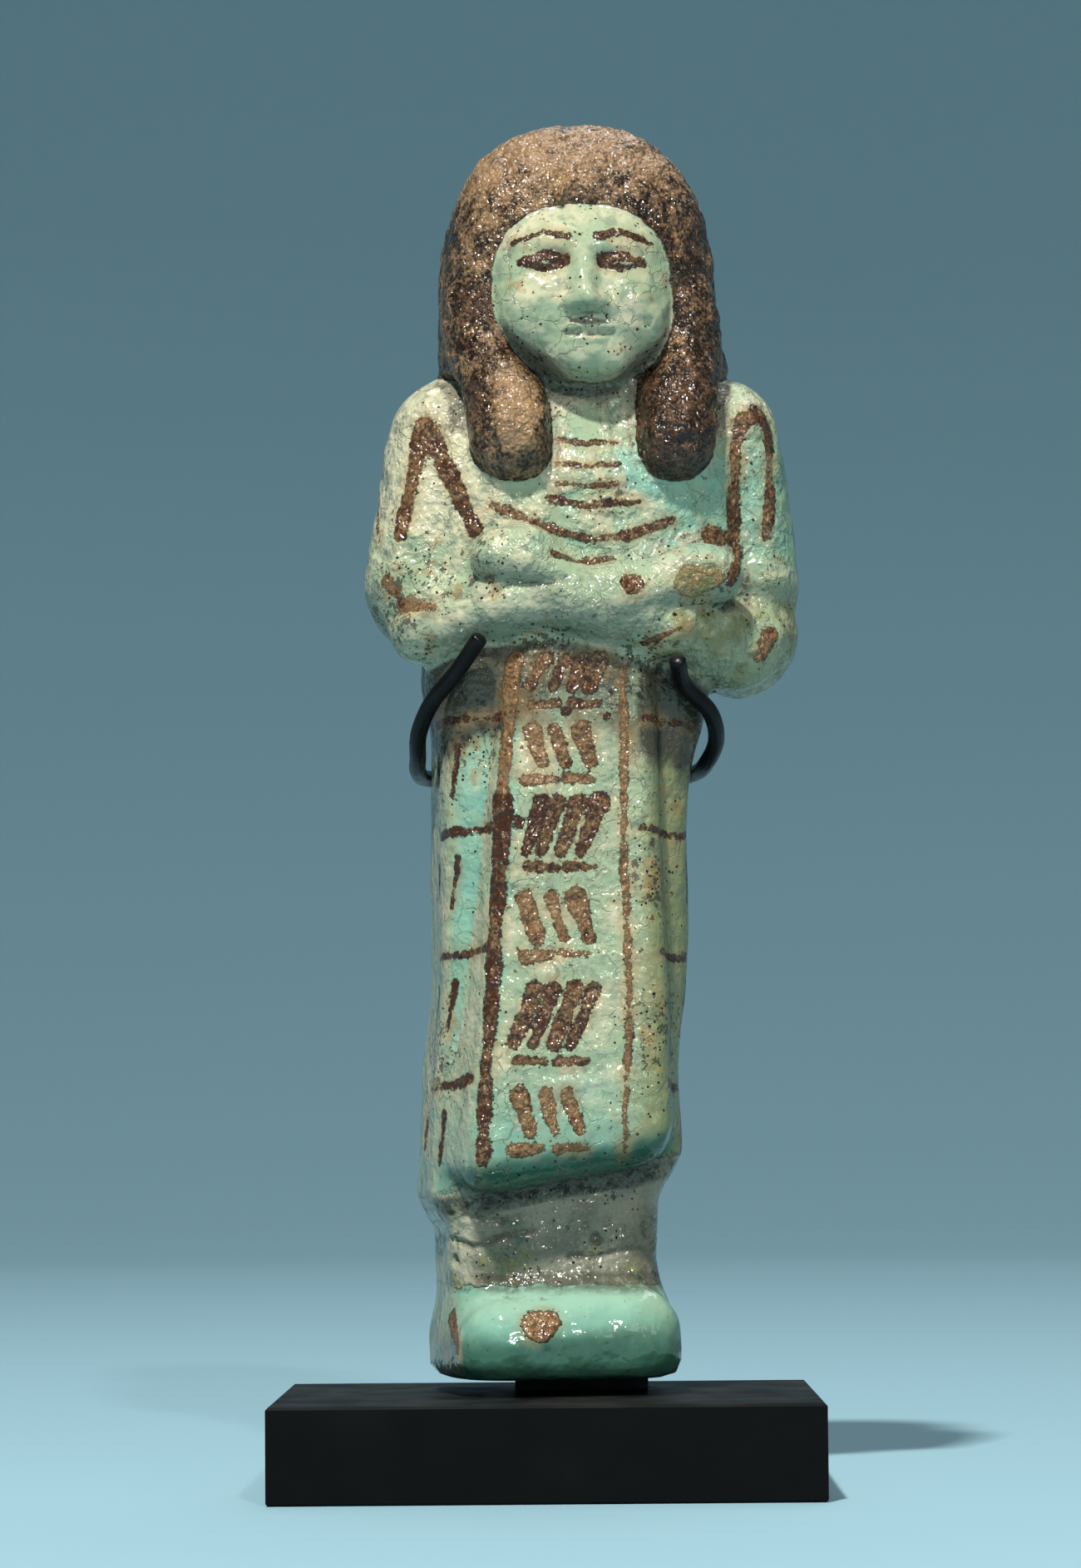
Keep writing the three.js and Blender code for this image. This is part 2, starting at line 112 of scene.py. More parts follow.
def new_material(name):
    """A material with its Principled shader, its node tree and its Object coordinates."""
    material = bpy.data.materials.new(name)
    material.use_nodes = True
    tree = material.node_tree
    place = node(tree, "TexCoord").outputs["Object"]
    return material, tree, tree.nodes["Principled BSDF"], place


def feed(tree, shader, **sources):
    """Links outputs to the shader's sockets, named with _ for a space."""
    for name, source in sources.items():
        tree.links.new(source, shader.inputs[name.replace("_", " ")])


DUST = dust_group()


def black_board():
    """Matt black spray paint on board: a fine orange-peel grain, rubbed patches and light dust."""
    material, tree, shader, place = new_material("black_board")
    rubbed = ramp(tree, grain(tree, place, 14, 5), 0.5, 0.8, 0, 0.45)
    values = {"Place": place, "Motes per metre": 420, "Mote share": 0.05, "Film": 0.05}
    dust = node(tree, "Group", values, node_tree=DUST)
    colour = mix(tree, rubbed, BLOCK_BLACK, BLOCK_WORN)
    colour = mix(tree, dust.outputs["Mask"], colour, DUST_COLOUR)
    peel = grain(tree, place, 0.35, 2)
    gloss = ramp(tree, grain(tree, place, 5), 0.3, 0.7, 0.42, 0.54)
    bump = node(tree, "Bump", {"Strength": 0.3, "Distance": 0.03 * MM, "Height": peel})
    shader.inputs["Specular IOR Level"].default_value = 0.06
    feed(tree, shader, Base_Color=colour, Roughness=gloss, Normal=bump.outputs[0])
    return material


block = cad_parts["stand_block"]
block.data.materials.clear()
block.data.materials.append(black_board())
block_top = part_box("stand_block")[1].z


# ---- The figurine: its shape ----
# One piece of Egyptian faience, pressed in a mould and finished by hand while damp, so its upright
# axis wanders and no side is quite true. Its own frame is in millimetres: it faces -Y, and its foot
# stands on z = 0. The kilt has a stiff apron, the arms cross, and a heavy wig frames the face.

sole_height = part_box("figurine")[0].z
SETBACK, SIDESTEP, TURN = 6.5, 0.3, math.radians(10)  # where the figure stands on its block

# The axis: height, step aside, and the section's turn in degrees.
AXIS = np.array([
    [0, 0.2, 0],
    [14, -0.4, 0],
    [28, 0.25, 0],
    [45, 1.35, -1],
    [65, 1.85, -1],
    [76, 2.4, -2],
    [88, 4.6, -3],
    [110, 4.9, -4],
    [124, 4.2, -7],
    [144, 4.1, -7],
])

CROWN, TEMPLE, BROWS, EYES, NOSE_BASE, MOUTH = 143.2, 121, 127.4, 125, 119.6, 117
WIG_END, SHOULDER, LAPPET_END = 113, 107, 105.4
WRIST, APRON_TOP, ELBOW, WAIST = 87, 86, 84, 68.5
HEM, HEM_ASLOPE, HEM_BACK, FOOT_TOP = 21.2, 0.16, 0.16, 9.6
LEGS_WIDE, KILT_WIDE, CHEST_WIDE, NECK_WIDE = 11.95, 14.4, 18.9, 9.6
LEGS_FRONT, CHEST_FRONT, NECK_FRONT, BACK = 9.4, 11.4, 7, 11
FOOT_WIDE, FOOT_FRONT, FOOT_BACK, FOOT_ROUND = 12.5, 16, 9.6, 5.4
APRON_LOW, APRON_HIGH = (11.2, 15.8), (7.6, 11.3)  # half width and front, at the hem and at the top


def rise(value, low, high):
    """0 below low, 1 above high, and the S-curve 3t^2 - 2t^3 between them."""
    share = np.clip((value - low) / (high - low), 0, 1)
    return share * share * (3 - 2 * share)


def lerp(low, high, share):
    """low where share is 0, high where it is 1, in a straight line."""
    return low + (high - low) * share


def join(a, b, blend):
    """The union of two distance fields, with a fillet about as wide as blend."""
    near = np.maximum(blend - np.abs(a - b), 0) / blend
    return np.minimum(a, b) - near * near * blend / 4


def meet(a, b, blend):
    """What two distance fields share, with its edge rounded over about blend."""
    return -join(-a, -b, blend)


def superellipsoid(x, y, z, a, b, c, n):
    """|x/a|^n + |y/b|^n + |z/c|^n = 1, its distance taken along the line to its middle."""
    size = (np.abs(x / a) ** n + np.abs(y / b) ** n + np.abs(z / c) ** n) ** (1 / n)
    return np.sqrt(x * x + y * y + z * z) * (1 - 1 / np.maximum(size, 1e-6))


def ellipsoid(place, middle, half):
    """The distance field of an ellipsoid with these half sizes."""
    x, y, z = (value - centre for value, centre in zip(place, middle))
    return superellipsoid(x, y, z, *half, 2)


def limb(place, start, end, start_radius, end_radius):
    """A rounded limb: the distance to a straight line, less a radius that tapers along it."""
    along = np.subtract(end, start)
    rel = [value - first for value, first in zip(place, start)]
    share = np.clip(sum(r * a for r, a in zip(rel, along)) / (along @ along), 0, 1)
    gap = [r - a * share for r, a in zip(rel, along)]
    return np.sqrt(sum(g * g for g in gap)) - lerp(start_radius, end_radius, share)


def rounded_box(place, middle, half, radius):
    """A box with rounded edges: the distance past its sides, less the radius."""
    out = [np.abs(v - c) - h + radius for v, c, h in zip(place, middle, half)]
    beyond = np.sqrt(sum(np.maximum(value, 0) ** 2 for value in out))
    return beyond + np.minimum(np.maximum(np.maximum(out[0], out[1]), out[2]), 0) - radius


def core(x, y, z):
    """Chest, kilt and legs: a squarish section whose width and depth swell with height."""
    wide = (
        LEGS_WIDE
        + (KILT_WIDE - LEGS_WIDE) * rise(z - HEM_ASLOPE * x, HEM - 4, HEM + 2)
        + (CHEST_WIDE - KILT_WIDE) * rise(z, WAIST - 2, SHOULDER - 15)
        - (CHEST_WIDE - NECK_WIDE) * rise(z, SHOULDER - 4, SHOULDER + 10)
    )
    front = (
        LEGS_FRONT
        + (CHEST_FRONT - LEGS_FRONT) * rise(z, WAIST, WRIST)
        - (CHEST_FRONT - NECK_FRONT) * rise(z, SHOULDER - 7, SHOULDER + 6)
    )
    square = lerp(4.5, 2.7, rise(z, WAIST - 2, WRIST))
    section = superellipsoid(x, y, 0 * z, wide, np.where(y < 0, front, BACK), 1, square)
    return meet(section, z - EYES, 2)


def foot(x, y, z):
    """A rounded block with the toes run together, deeper in front than the legs."""
    middle = (0, (FOOT_BACK - FOOT_FRONT) / 2, FOOT_TOP / 2 - 2)
    half = (FOOT_WIDE, (FOOT_BACK + FOOT_FRONT) / 2, FOOT_TOP / 2 + 2)
    return rounded_box((x, y, z - 0.08 * x), middle, half, FOOT_ROUND)


def apron(x, y, z):
    """A wedge: a flat front that leans forward to the hem, and sides that flare back by 0.3."""
    share = (z - HEM) / (APRON_TOP - HEM)
    front = lerp(APRON_LOW[1], APRON_HIGH[1], share)
    wide = lerp(APRON_LOW[0], APRON_HIGH[0], share) + 0.3 * (y + front)
    sides = (np.abs(x) - wide) / math.hypot(1, 0.3)
    hem = HEM + HEM_ASLOPE * x + HEM_BACK * (y + front) - z
    faces = meet(meet(sides, -y - front, 2.2), hem, 6)
    return meet(meet(faces, z - APRON_TOP, 4), y + 1, 1)


# Each forearm: its side, its elbow (out, height, and the corner above it), its height halfway and
# at the wrist, and where its fist comes to rest (across and up).
FOREARMS = [
    (-1, 18, 85.1, 2.4, 86.4, 87.3, 11.8, 89.6),
    (1, 19.7, 82, 0.3, 83.9, 86.8, -9, 91.6),
]


def arms(x, y, z):
    """Upper arms that hang at the sides, and forearms that cross, each with a fist at its end."""
    place, upper = (x, y, z), (np.abs(x), y / 1.3, z)
    arm = limb(upper, (17, 0.8, SHOULDER), (19.1, 0.4, ELBOW + 5.8), 5.7, 6.1)
    arm = join(arm, limb(upper, (8, 2, SHOULDER + 5.4), (16, 0.8, SHOULDER), 4.9, 5.6), 1)
    for side, out, elbow, corner, middle, wrist, over_to, fist in FOREARMS:
        bend, cross = ((out - 0.8) * side, -4.6, elbow), (9.3 * side, -10.4, middle)
        over, knuckles = (-2 * side, -12.2, wrist), (over_to + 2 * side, -12.2, fist - 1)
        arm = join(arm, limb(place, (out * side, -1.5, elbow + corner), bend, 5.6, 4.8), 2)
        fore = limb(place, bend, cross, 4.8, 3.7)
        fore = join(fore, limb(place, cross, over, 3.7, 3.4), 1)
        fore = join(fore, limb(place, over, knuckles, 3.4, 3.2), 1)
        fore = join(fore, ellipsoid(place, (over_to, -11.6, fist), (4.9, 3.9, 3.6)), 1)
        arm = join(arm, fore, 1)
    return arm


def face(x, y, z):
    """A calm, regular face: a rounded mask with chin, cheeks, sockets, eyes, brows, nose and lips."""
    place = (np.abs(x), y, z)
    skin = superellipsoid(x, y + 2, z - 122.8, 11.4, 11.2, 10.8, 2.5)
    skin = join(skin, ellipsoid(place, (0, -9.4, MOUTH - 2.2), (4.6, 3.4, 2.8)), 2.5)
    skin = join(skin, ellipsoid(place, (5.4, -9.6, NOSE_BASE), (3.6, 2.9, 3.6)), 2.5)
    skin = meet(skin, -ellipsoid(place, (4.3, -13.8, EYES), (3.4, 1.8, 1.6)), 1.6)
    skin = join(skin, ellipsoid(place, (4.2, -11.3, EYES), (2.6, 1.3, 1.1)), 0.4)
    skin = join(skin, limb(place, (1.8, -12, BROWS), (7, -10, BROWS - 0.5), 0.8, 0.6), 1.6)
    skin = join(skin, limb(place, (0, -11.9, EYES + 1), (0, -13.6, NOSE_BASE + 1), 1, 1.6), 1.2)
    skin = join(skin, ellipsoid(place, (1.5, -13, NOSE_BASE + 0.6), (1.2, 1.3, 1)), 0.8)
    skin = join(skin, ellipsoid(place, (0, -12.2, MOUTH + 0.6), (3, 1.2, 0.8)), 0.5)
    return join(skin, ellipsoid(place, (0, -12.1, MOUTH - 0.8), (2.4, 1.2, 0.9)), 0.4)


def wig(x, y, z):
    """A heavy cap over the head, two lappets, and an opening for the face and the throat."""
    across, up = np.abs(x), np.maximum(z - TEMPLE, 0)
    wide = 16 + 0.1 * np.maximum(TEMPLE - z, 0)
    deep = np.where(y < 1, 12.3, 12.2)
    hair = superellipsoid(x, y - 1, up, wide, deep, CROWN - TEMPLE, 2.4)
    hair = meet(hair, WIG_END - z, 2.5)
    root, tip = (11.3, -5.2, WIG_END + 7), (8.8, -11.385, LAPPET_END)
    lappet = limb((across, y * 1.15, z), root, tip, 4.4, 5.1)
    hair = join(hair, lappet, 2)
    around = superellipsoid(x, 0 * y, z - 121.5, 10.1, 1, 10.8, 2.3)
    between = np.maximum(across - 5, z - 121.5)
    return meet(hair, -np.maximum(join(around, between, 2), y + 7), 2)


def wander(heights):
    """How far the axis has stepped aside at these heights, and how far the section has turned."""
    stop = np.clip(np.searchsorted(AXIS[:, 0], heights, side="right"), 1, len(AXIS) - 1)
    low, high = AXIS[stop - 1], AXIS[stop]
    share = rise(heights, low[:, 0], high[:, 0])
    return lerp(low[:, 1], high[:, 1], share), np.radians(lerp(low[:, 2], high[:, 2], share))


def upright(points):
    """The figure's points with the wander of its axis taken out: stepped back and turned back."""
    aside, turn = wander(points[:, 2])
    x = points[:, 0] - aside
    across = x * np.cos(turn) + points[:, 1] * np.sin(turn)
    deep = points[:, 1] * np.cos(turn) - x * np.sin(turn)
    return across, deep, points[:, 2]


def straight_figure(x, y, z):
    """The figure before its axis wanders: every part joined, and cut flat below."""
    solid = join(core(x, y, z), foot(x, y, z), 4)
    solid = join(solid, apron(x, y, z), 0.8)
    solid = join(solid, arms(x, y, z), 1.2)
    solid = join(solid, join(face(x, y, z), wig(x, y, z), 1), 1)
    return meet(solid, -z, 1.5)


def figure(points):
    """The whole figure in its own frame: negative inside, positive outside, in millimetres."""
    return straight_figure(*upright(points))


def axis_at(heights):
    """Points on the wandering axis at these heights."""
    aside = wander(heights)[0]
    return np.stack([aside, 0 * aside, heights], axis=-1)


OUTSIDE = 34.0  # millimetres from the axis, clear of every part
STRIDE = 0.7  # the share of the field's value that one step takes, so that no step passes the surface


def reach(start, direction, distance=0.0):
    """Rays are followed inwards, by 1 mm a step at most, until they are this far from the figure."""
    far = np.full(len(start), OUTSIDE)
    for _ in range(70):
        far -= np.minimum((figure(start + direction * far[:, None]) - distance) * STRIDE, 1)
    return start + direction * far[:, None]


def outward(points, step=0.05):
    """Unit normals: the slope of the field, from its values at the corners of a small tetrahedron."""
    corners = np.array([[1, -1, -1], [-1, -1, 1], [-1, 1, -1], [1, 1, 1]])
    slope = sum(corner * figure(points + corner * step)[:, None] for corner in corners)
    return slope / np.linalg.norm(slope, axis=1, keepdims=True)


# Rows of rays start at a height on the axis and tilt upwards by some degrees, with a number of rows
# between each station and the next.
HEAD_MIDDLE = 127.0
STATIONS = [
    (0.3, -20, 8),
    (3, 0, 22),
    (11, 12, 34),
    (24, -14, 22),
    (34, 0, 90),
    (70, -6, 32),
    (84, -8, 40),
    (100, 6, 72),
    (HEAD_MIDDLE, 0, 16),
    (HEAD_MIDDLE, 45, 22),
    (HEAD_MIDDLE, 88, 1),
]
COLUMNS = 264
EVENING_ROUNDS = 14


def first_grid():
    """Where the rays of every row and column meet the figure, as rows x columns x 3."""
    stops = np.array(STATIONS, dtype=float)
    at = np.concatenate([[0], np.cumsum(stops[:-1, 2])])
    rows = np.arange(int(at[-1]) + 1)
    heights, tilts = np.interp(rows, at, stops[:, 0]), np.radians(np.interp(rows, at, stops[:, 1]))
    angles = np.arange(COLUMNS) * 2 * np.pi / COLUMNS
    tilt, angle = np.meshgrid(tilts, angles, indexing="ij")
    level = np.cos(tilt)
    direction = np.stack([np.sin(angle) * level, -np.cos(angle) * level, np.sin(tilt)], axis=-1)
    start = np.repeat(axis_at(heights)[:, None], COLUMNS, axis=1)
    return reach(start.reshape(-1, 3), direction.reshape(-1, 3)).reshape(direction.shape)


def evened(grid):
    """Slides points along their rows and columns towards equal spacing, and back on to the surface."""
    for _ in range(EVENING_ROUNDS):
        before, after = np.roll(grid, 1, axis=1) - grid, np.roll(grid, -1, axis=1) - grid
        across = (np.linalg.norm(after, axis=2) - np.linalg.norm(before, axis=2))[..., None]
        moved = grid + 0.2 * across * unit(after - before)
        below, above = grid[:-2] - grid[1:-1], grid[2:] - grid[1:-1]
        upwards = (np.linalg.norm(above, axis=2) - np.linalg.norm(below, axis=2))[..., None]
        moved[1:-1] += 0.2 * upwards * unit(above - below)
        moved[0], moved[-1] = grid[0], grid[-1]
        flat = moved.reshape(-1, 3)
        grid = (flat - outward(flat) * figure(flat)[:, None]).reshape(grid.shape)
    return grid


def unit(vectors):
    """The vectors at length 1."""
    return vectors / np.maximum(np.linalg.norm(vectors, axis=-1, keepdims=True), 1e-9)


# ---- The figurine: its relief ----
# Hand-smoothed paste is never flat. There are slow dents from fingers, a coarser skin on the wig,
# burst bubbles, a few cracks from drying, and painted strokes that sit a little sunk in the glaze.


def scattered(cells, seed):
    """A repeatable number from 0 to 1 for each whole-number cell: the fraction of a large sine."""
    return np.sin(cells @ np.array([127.1, 311.7, 74.7]) + seed * 19.19) * 43758.5453 % 1


def cloud(points, size, seed=0):
    """Value noise from -1 to 1: random values on a lattice, blended by S-curves between its corners."""
    cell = np.floor(points / size)
    inside = points / size - cell
    inside = inside * inside * (3 - 2 * inside)
    total = 0
    for corner in np.ndindex(2, 2, 2):
        weight = np.prod(np.where(corner, inside, 1 - inside), axis=1)
        total = total + weight * scattered(cell + corner, seed)
    return total * 2 - 1


def laid(route, side, spacing=0.35):
    """A brush's or tool's route laid on the figure. Each stop is across and up, seen from the side."""
    stops = np.array(route, dtype=float)
    lengths = np.concatenate([[0], np.cumsum(np.hypot(*np.diff(stops, axis=0).T))])
    along = np.linspace(0, lengths[-1], max(int(lengths[-1] / spacing), 2))
    across, up = np.interp(along, lengths, stops[:, 0]), np.interp(along, lengths, stops[:, 1])
    deep = np.full(len(along), -OUTSIDE)
    for _ in range(90):
        deep += np.clip(straight_figure(*seen_from(side, across, deep, up)) * STRIDE, -1, 1)
    return np.stack(seen_from(side, across, deep, up), axis=-1), along / max(along[-1], 1e-6)


def seen_from(side, across, deep, up):
    """Turns across, depth and height as one side sees them into x, y and z."""
    turned = {"front": (across, deep, up), "left": (deep, across, up), "right": (-deep, across, up)}
    turned["back"] = (-across, -deep, up)
    return turned[side]


FAR_OFF = 9.0  # millimetres, given for every point out of a stroke's reach


def stroke_distance(own, route, half, side="front", taper=0.3):
    """Millimetres from the edge of a stroke, negative inside. Its half width tapers along it."""
    centre, share = laid(route, side)
    edge = np.full(len(own), FAR_OFF)
    low, high = centre.min(axis=0) - half - 2, centre.max(axis=0) + half + 2
    near = np.flatnonzero(np.all((own > low) & (own < high), axis=1))
    width = half * (1 - taper * share) * (1 + 0.28 * cloud(centre, 2.3, 31))
    gap = np.linalg.norm(own[near, None] - centre[None], axis=2) - width
    edge[near] = gap.min(axis=1)
    return edge


# ---- The figurine: its painting ----
# Brown-black manganese paint, brushed on before the glaze fired, so it lies in the glaze: a collar,
# sleeves, and a panel of plain dabs down the apron. Each stroke is its tone (0 dark to 1 pale), its
# half width, and its stops across and up, in the figure's frame.


ROW_HEIGHTS = (78.4, 70.2, 61.2, 51, 40, 29.4)
DAB_LENGTHS = (3, 3.6, 5.4, 4.4, 6, 4)
DAB_COUNTS = (4, 3, 4, 3, 4, 3)


def collar():
    """Short bars down the throat, then one long string of beads that sags between the lappets."""
    bars = (105, 102.3, 100)
    strokes = [(0.45, 0.42, [(-4.3, up), (-1, up - 0.4), (2.6, up)]) for up in bars]
    strokes.append((0.3, 0.5, [(-5, 98.2), (-1, 97.4), (5, 98)]))
    strokes.append((0.4, 0.55, [(-11.5, 97.6), (-6, 95), (-1, 93.7), (4, 94), (9, 96)]))
    strokes.append((0.2, 0.75, [(3.5, 94), (6, 94.8), (8.5, 95.8)]))
    strokes.append((0.35, 0.6, [(-5, 91.6), (-1.5, 91), (2, 91.4)]))
    return strokes


def sleeves():
    """Pleats of the sleeves: a wide inverted V on one shoulder, a narrow loop on the other."""
    return [
        (0.35, 1.15, [(-19, 107.2), (-20.2, 101), (-21.6, 94.6)]),
        (0.2, 1.25, [(-18.4, 106.8), (-16, 101), (-13.4, 95)]),
        (0.6, 0.5, [(-23.4, 104), (-24, 98), (-23.8, 94)]),
        (0.3, 1.0, [(19.6, 109), (17.4, 108), (16.4, 104), (16.2, 98), (16.6, 92.5), (15, 88.6)]),
        (0.25, 0.9, [(19.2, 109.2), (20.6, 107), (20.8, 100), (20.2, 94.6)]),
        (0.35, 1.2, [(13.4, 94.4), (16, 94.2)]),
    ]


def touches():
    """Single touches of the brush: a bead, the elbows, a line on the wrist, and the foot."""
    return [
        (0.45, 1.25, [(3.6, 88.2), (3.9, 87.8)]),
        (0.6, 0.9, [(-23, 89.4), (-22, 88)]),
        (0.45, 0.8, [(-21.4, 86.6), (-18, 86)]),
        (0.55, 1.0, [(-24.4, 85), (-23.6, 84)]),
        (0.6, 1.2, [(21, 83), (20.4, 80.6)]),
        (0.55, 0.4, [(6.4, 81.8), (10.4, 83.6)]),
        (1.4, 1.8, [(10.2, 88.4), (12.8, 88.9)]),
        (0.55, 1.75, [(-4, 6.1), (-2.8, 6.6)]),
        (0.6, 0.8, [(-12.3, 6.8), (-12.4, 3.2)]),
    ]


def panel():
    """The panel on the apron: a strong band on its left ridge, and a thin pale one on its right."""
    return [
        (0.62, 1.1, [(-7.7, 80), (-8.1, 72), (-8.6, 63)]),
        (0.12, 1.15, [(-8.6, 64), (-9.3, 50), (-9.8, 38), (-10.1, 24.4)]),
        (0.85, 0.5, [(4.7, 78.6), (5.1, 70), (5, 60), (5.7, 48), (5.9, 36), (5.8, 24.8)]),
    ]


def rows_of_dabs():
    """Plain slanting dabs in six rows down the panel, with short dashes between the rows."""
    chance = np.random.default_rng(5)
    strokes = []
    for row, (up, tall, count) in enumerate(zip(ROW_HEIGHTS, DAB_LENGTHS, DAB_COUNTS)):
        middle, tone = -1.7 - 0.2 * row, (0.3, 0.6)[row % 2]
        for dab in range(count):
            across = middle + (dab - (count - 1) / 2) * 8.6 / count + chance.normal(0, 0.2)
            lean = tall * (0.34 if row % 2 else -0.34) + chance.normal(0, 0.2)
            ends = [(across - lean / 2, up + tall / 2), (across + lean / 2, up - tall / 2)]
            strokes.append((tone + chance.normal(0, 0.1), chance.uniform(0.85, 1.2), ends))
        for dash in (-1, 1):
            across, below = middle + dash * 2.3 + chance.normal(0, 0.2), up - tall / 2 - 1.9
            ends = [(across - 1.6, below + chance.normal(0, 0.2)), (across + 1.5, below)]
            strokes.append((tone + 0.1, chance.uniform(0.5, 0.75), ends))
    return strokes


def registers():
    """Lines round the kilt's sides at four heights, and uprights between them. Each has its side."""
    strokes = []
    for up in (73.6, 61, 47.2, 32.6):
        strokes += [
            (0.1, 0.62, "left", [(-13, up + 0.6), (-9, up), (-4, up - 0.4)]),
            (0.15, 0.5, "right", [(-13, up), (-8, up - 0.6), (-3, up)]),
            (0.0, 0.5, "left", [(-7.6, up - 3.2), (-7, up - 8.6)]),
            (0.05, 0.55, "left", [(-3, up - 4), (-2.6, up - 7)]),
            (0.3, 0.55, "right", [(-6, up - 3), (-6.2, up - 7.6)]),
        ]
    return strokes


FRONT_STROKES = collar() + sleeves() + touches() + panel() + rows_of_dabs()
EYE_PAINT = [
    (0.1, 0.75, [(1.9, EYES + 0.1), (4.2, EYES + 0.7), (6.9, EYES)]),
    (0.15, 0.5, [(2, EYES - 0.2), (4.2, EYES - 0.8), (6.6, EYES - 0.2)]),
    (0.1, 0.55, [(1.7, BROWS + 0.5), (4.4, BROWS + 1), (7.8, BROWS - 0.1)]),
]

# Broad hollows left by handling: the middle, the radius and the depth. A negative depth is a swelling.
HOLLOWS = [
    ((-15.5, 2, 110.5), 5, -1.1),
    ((17, 1, 111), 5, -0.8),
    ((-21, 2, 109), 5, 0.6),
    ((-16, -2, 96), 9, 0.4),
    ((-11, -13, 90), 6, -0.4),
    ((12, -14, 5), 8, -0.4),
    ((14, -4, 0), 7, 0.8),
    ((15, 0, 60), 15, 0.8),
    ((15, 0, 37), 14, 0.8),
    ((2, -13, 50), 12, 0.35),
    ((-15, 2, 46), 12, 0.4),
]

# Where soot and grit gathered: the middle and the radius.
SOOTY = [
    ((1.6, -12, 98.4), 3.4),
    ((-20, -6, 86), 7),
    ((-12, -12, 91), 5),
    ((-12.4, -9, 121), 3.6),
    ((9, -13, 55), 6),
    ((11, -12, 38), 8),
    ((7, -13, 80), 5),
    ((-5, -12, 82), 4),
    ((11.5, -13, 88), 4),
    ((-14, -4, 36), 8),
    ((-13, 0, 66), 9),
    ((-12, -9, 71), 6),
]

# Cracks and creases: half width, depth and stops. A negative depth is a raised ridge.
CRACKS = [
    (0.4, -0.9, [(-2.4, 132.4), (-2, 134), (-0.8, 134.8), (0.6, 134.2), (1, 132.8)]),
    (0.2, 0.35, [(-2.7, MOUTH - 0.1), (0, MOUTH - 0.3), (2.7, MOUTH - 0.1)]),
    (0.3, 0.5, [(-12, 15.6), (-9.6, 14.6), (-6.4, 15.8), (-3, 16.4)]),
    (0.5, 0.8, [(4, 15.4), (4.5, 15.2)]),
    (0.4, 0.7, [(-11.4, 13.2), (-11.2, 12.7)]),
    (0.3, 0.4, [(1, 13.4), (4, 13.4), (6.4, 14), (9, 14.4)]),
    (0.4, 0.5, [(9.6, 16.8), (10, 15.6)]),
    (0.16, 0.2, [(-9, 12), (-3, 11.6), (2, 12.2), (8, 11.8)]),
    (0.22, 0.35, [(-12.4, 9.6), (-9.6, 10.2), (-7, 10.6)]),
    (0.18, 0.25, [(-10.4, 18), (-7, 17.4), (-4, 18.2)]),
    (0.2, 0.3, [(20.4, 101), (23.6, 101.4)]),
    (0.14, 0.18, [(21, 95.4), (24.4, 95.6)]),
    (0.34, 0.6, [(-22.4, 85.4), (-19.5, 86.8), (-16, 87.4), (-13, 86.8), (-9.5, 88.4), (-6, 88),
                 (-3.4, 89)]),
    (0.4, -0.35, [(-21, 84.6), (-17, 86.2), (-13, 85.6), (-9.5, 87.2), (-5, 87)]),
    (0.2, 0.3, [(-21, 93.4), (-18.6, 91.2), (-16, 90.6)]),
    (0.13, 0.15, [(1.8, 112), (2.2, 107), (2, 101)]),
    (0.15, 0.2, [(-4, 33.4), (0.6, 34), (3.4, 35.6)]),
]


def painted(own):
    """The distance to the nearest stroke's edge, and that stroke's tone, at every point."""
    edge, tone = np.full(len(own), FAR_OFF), np.zeros(len(own))
    eyes = [(t, h, [(s * a, u) for a, u in r]) for t, h, r in EYE_PAINT for s in (-1, 1)]
    strokes = [(t, h, "front", r) for t, h, r in FRONT_STROKES + eyes]
    for pale, half, side, route in strokes + registers():
        here = stroke_distance(own, route, half, side)
        tone = np.where(here < edge, pale, tone)
        edge = np.minimum(edge, here)
    return edge, tone


def close_to(points, middle, radius):
    """1 at a place, and down to 0 at a radius from it, as 1 less the square of the distance."""
    return np.clip(1 - (np.linalg.norm(points - middle, axis=1) / radius) ** 2, 0, 1)


def bubbles(points, count, radii, seed):
    """Burst bubbles: a bowl at each of a few random places on the surface, 1 at its middle."""
    chance = np.random.default_rng(seed)
    bowl = np.zeros(len(points))
    for middle in points[chance.integers(0, len(points), count)]:
        bowl = np.maximum(bowl, close_to(points, middle, chance.uniform(*radii)))
    return bowl


def crawled(points):
    """Thin wandering creases where a cloud crosses zero, in some patches only: 1 along each crease."""
    line = np.clip(1 - np.abs(cloud(points, 4.6, 21) + 0.3 * cloud(points, 1.5, 22)) / 0.1, 0, 1)
    return line * rise(cloud(points, 9, 23), 0, 0.35)


def relief(points, own, hair, edge):
    """How far the worked surface stands out from the plain form, in millimetres."""
    busy = lerp(0.35, 1, rise(points[:, 2], 62, 84))
    dents = 0.17 * cloud(points, 4.3, 2) + 0.1 * cloud(points, 2.2, 3) + 0.05 * cloud(points, 1.1, 4)
    coarse = 0.16 * cloud(points, 2.1, 5) + 0.13 * cloud(points, 1.2, 6) + 0.1 * cloud(points, 0.7, 7)
    out = 0.24 * cloud(points, 9, 1) + (dents - 0.22 * crawled(points)) * busy + coarse * hair
    out -= 0.3 * bubbles(points, count=60, radii=(0.45, 1.0), seed=11)
    out -= 0.06 * rise(-edge, -0.3, 0.4) * (1 - hair)
    for middle, radius, depth in HOLLOWS:
        out -= depth * close_to(own, middle, radius) ** 2
    return out


def cracked(own):
    """How deep the cracks cut at every point, and how much dirt they hold, from 0 to 1."""
    cut, dirt = np.zeros(len(own)), np.zeros(len(own))
    for half, depth, route in CRACKS:
        inside = -stroke_distance(own, route, half, taper=0.5)
        cut += depth * rise(inside, -0.35, half)
        dirt = np.maximum(dirt, rise(inside, -0.3, half) * min(max(depth, 0) / 0.35, 1))
    return cut, dirt


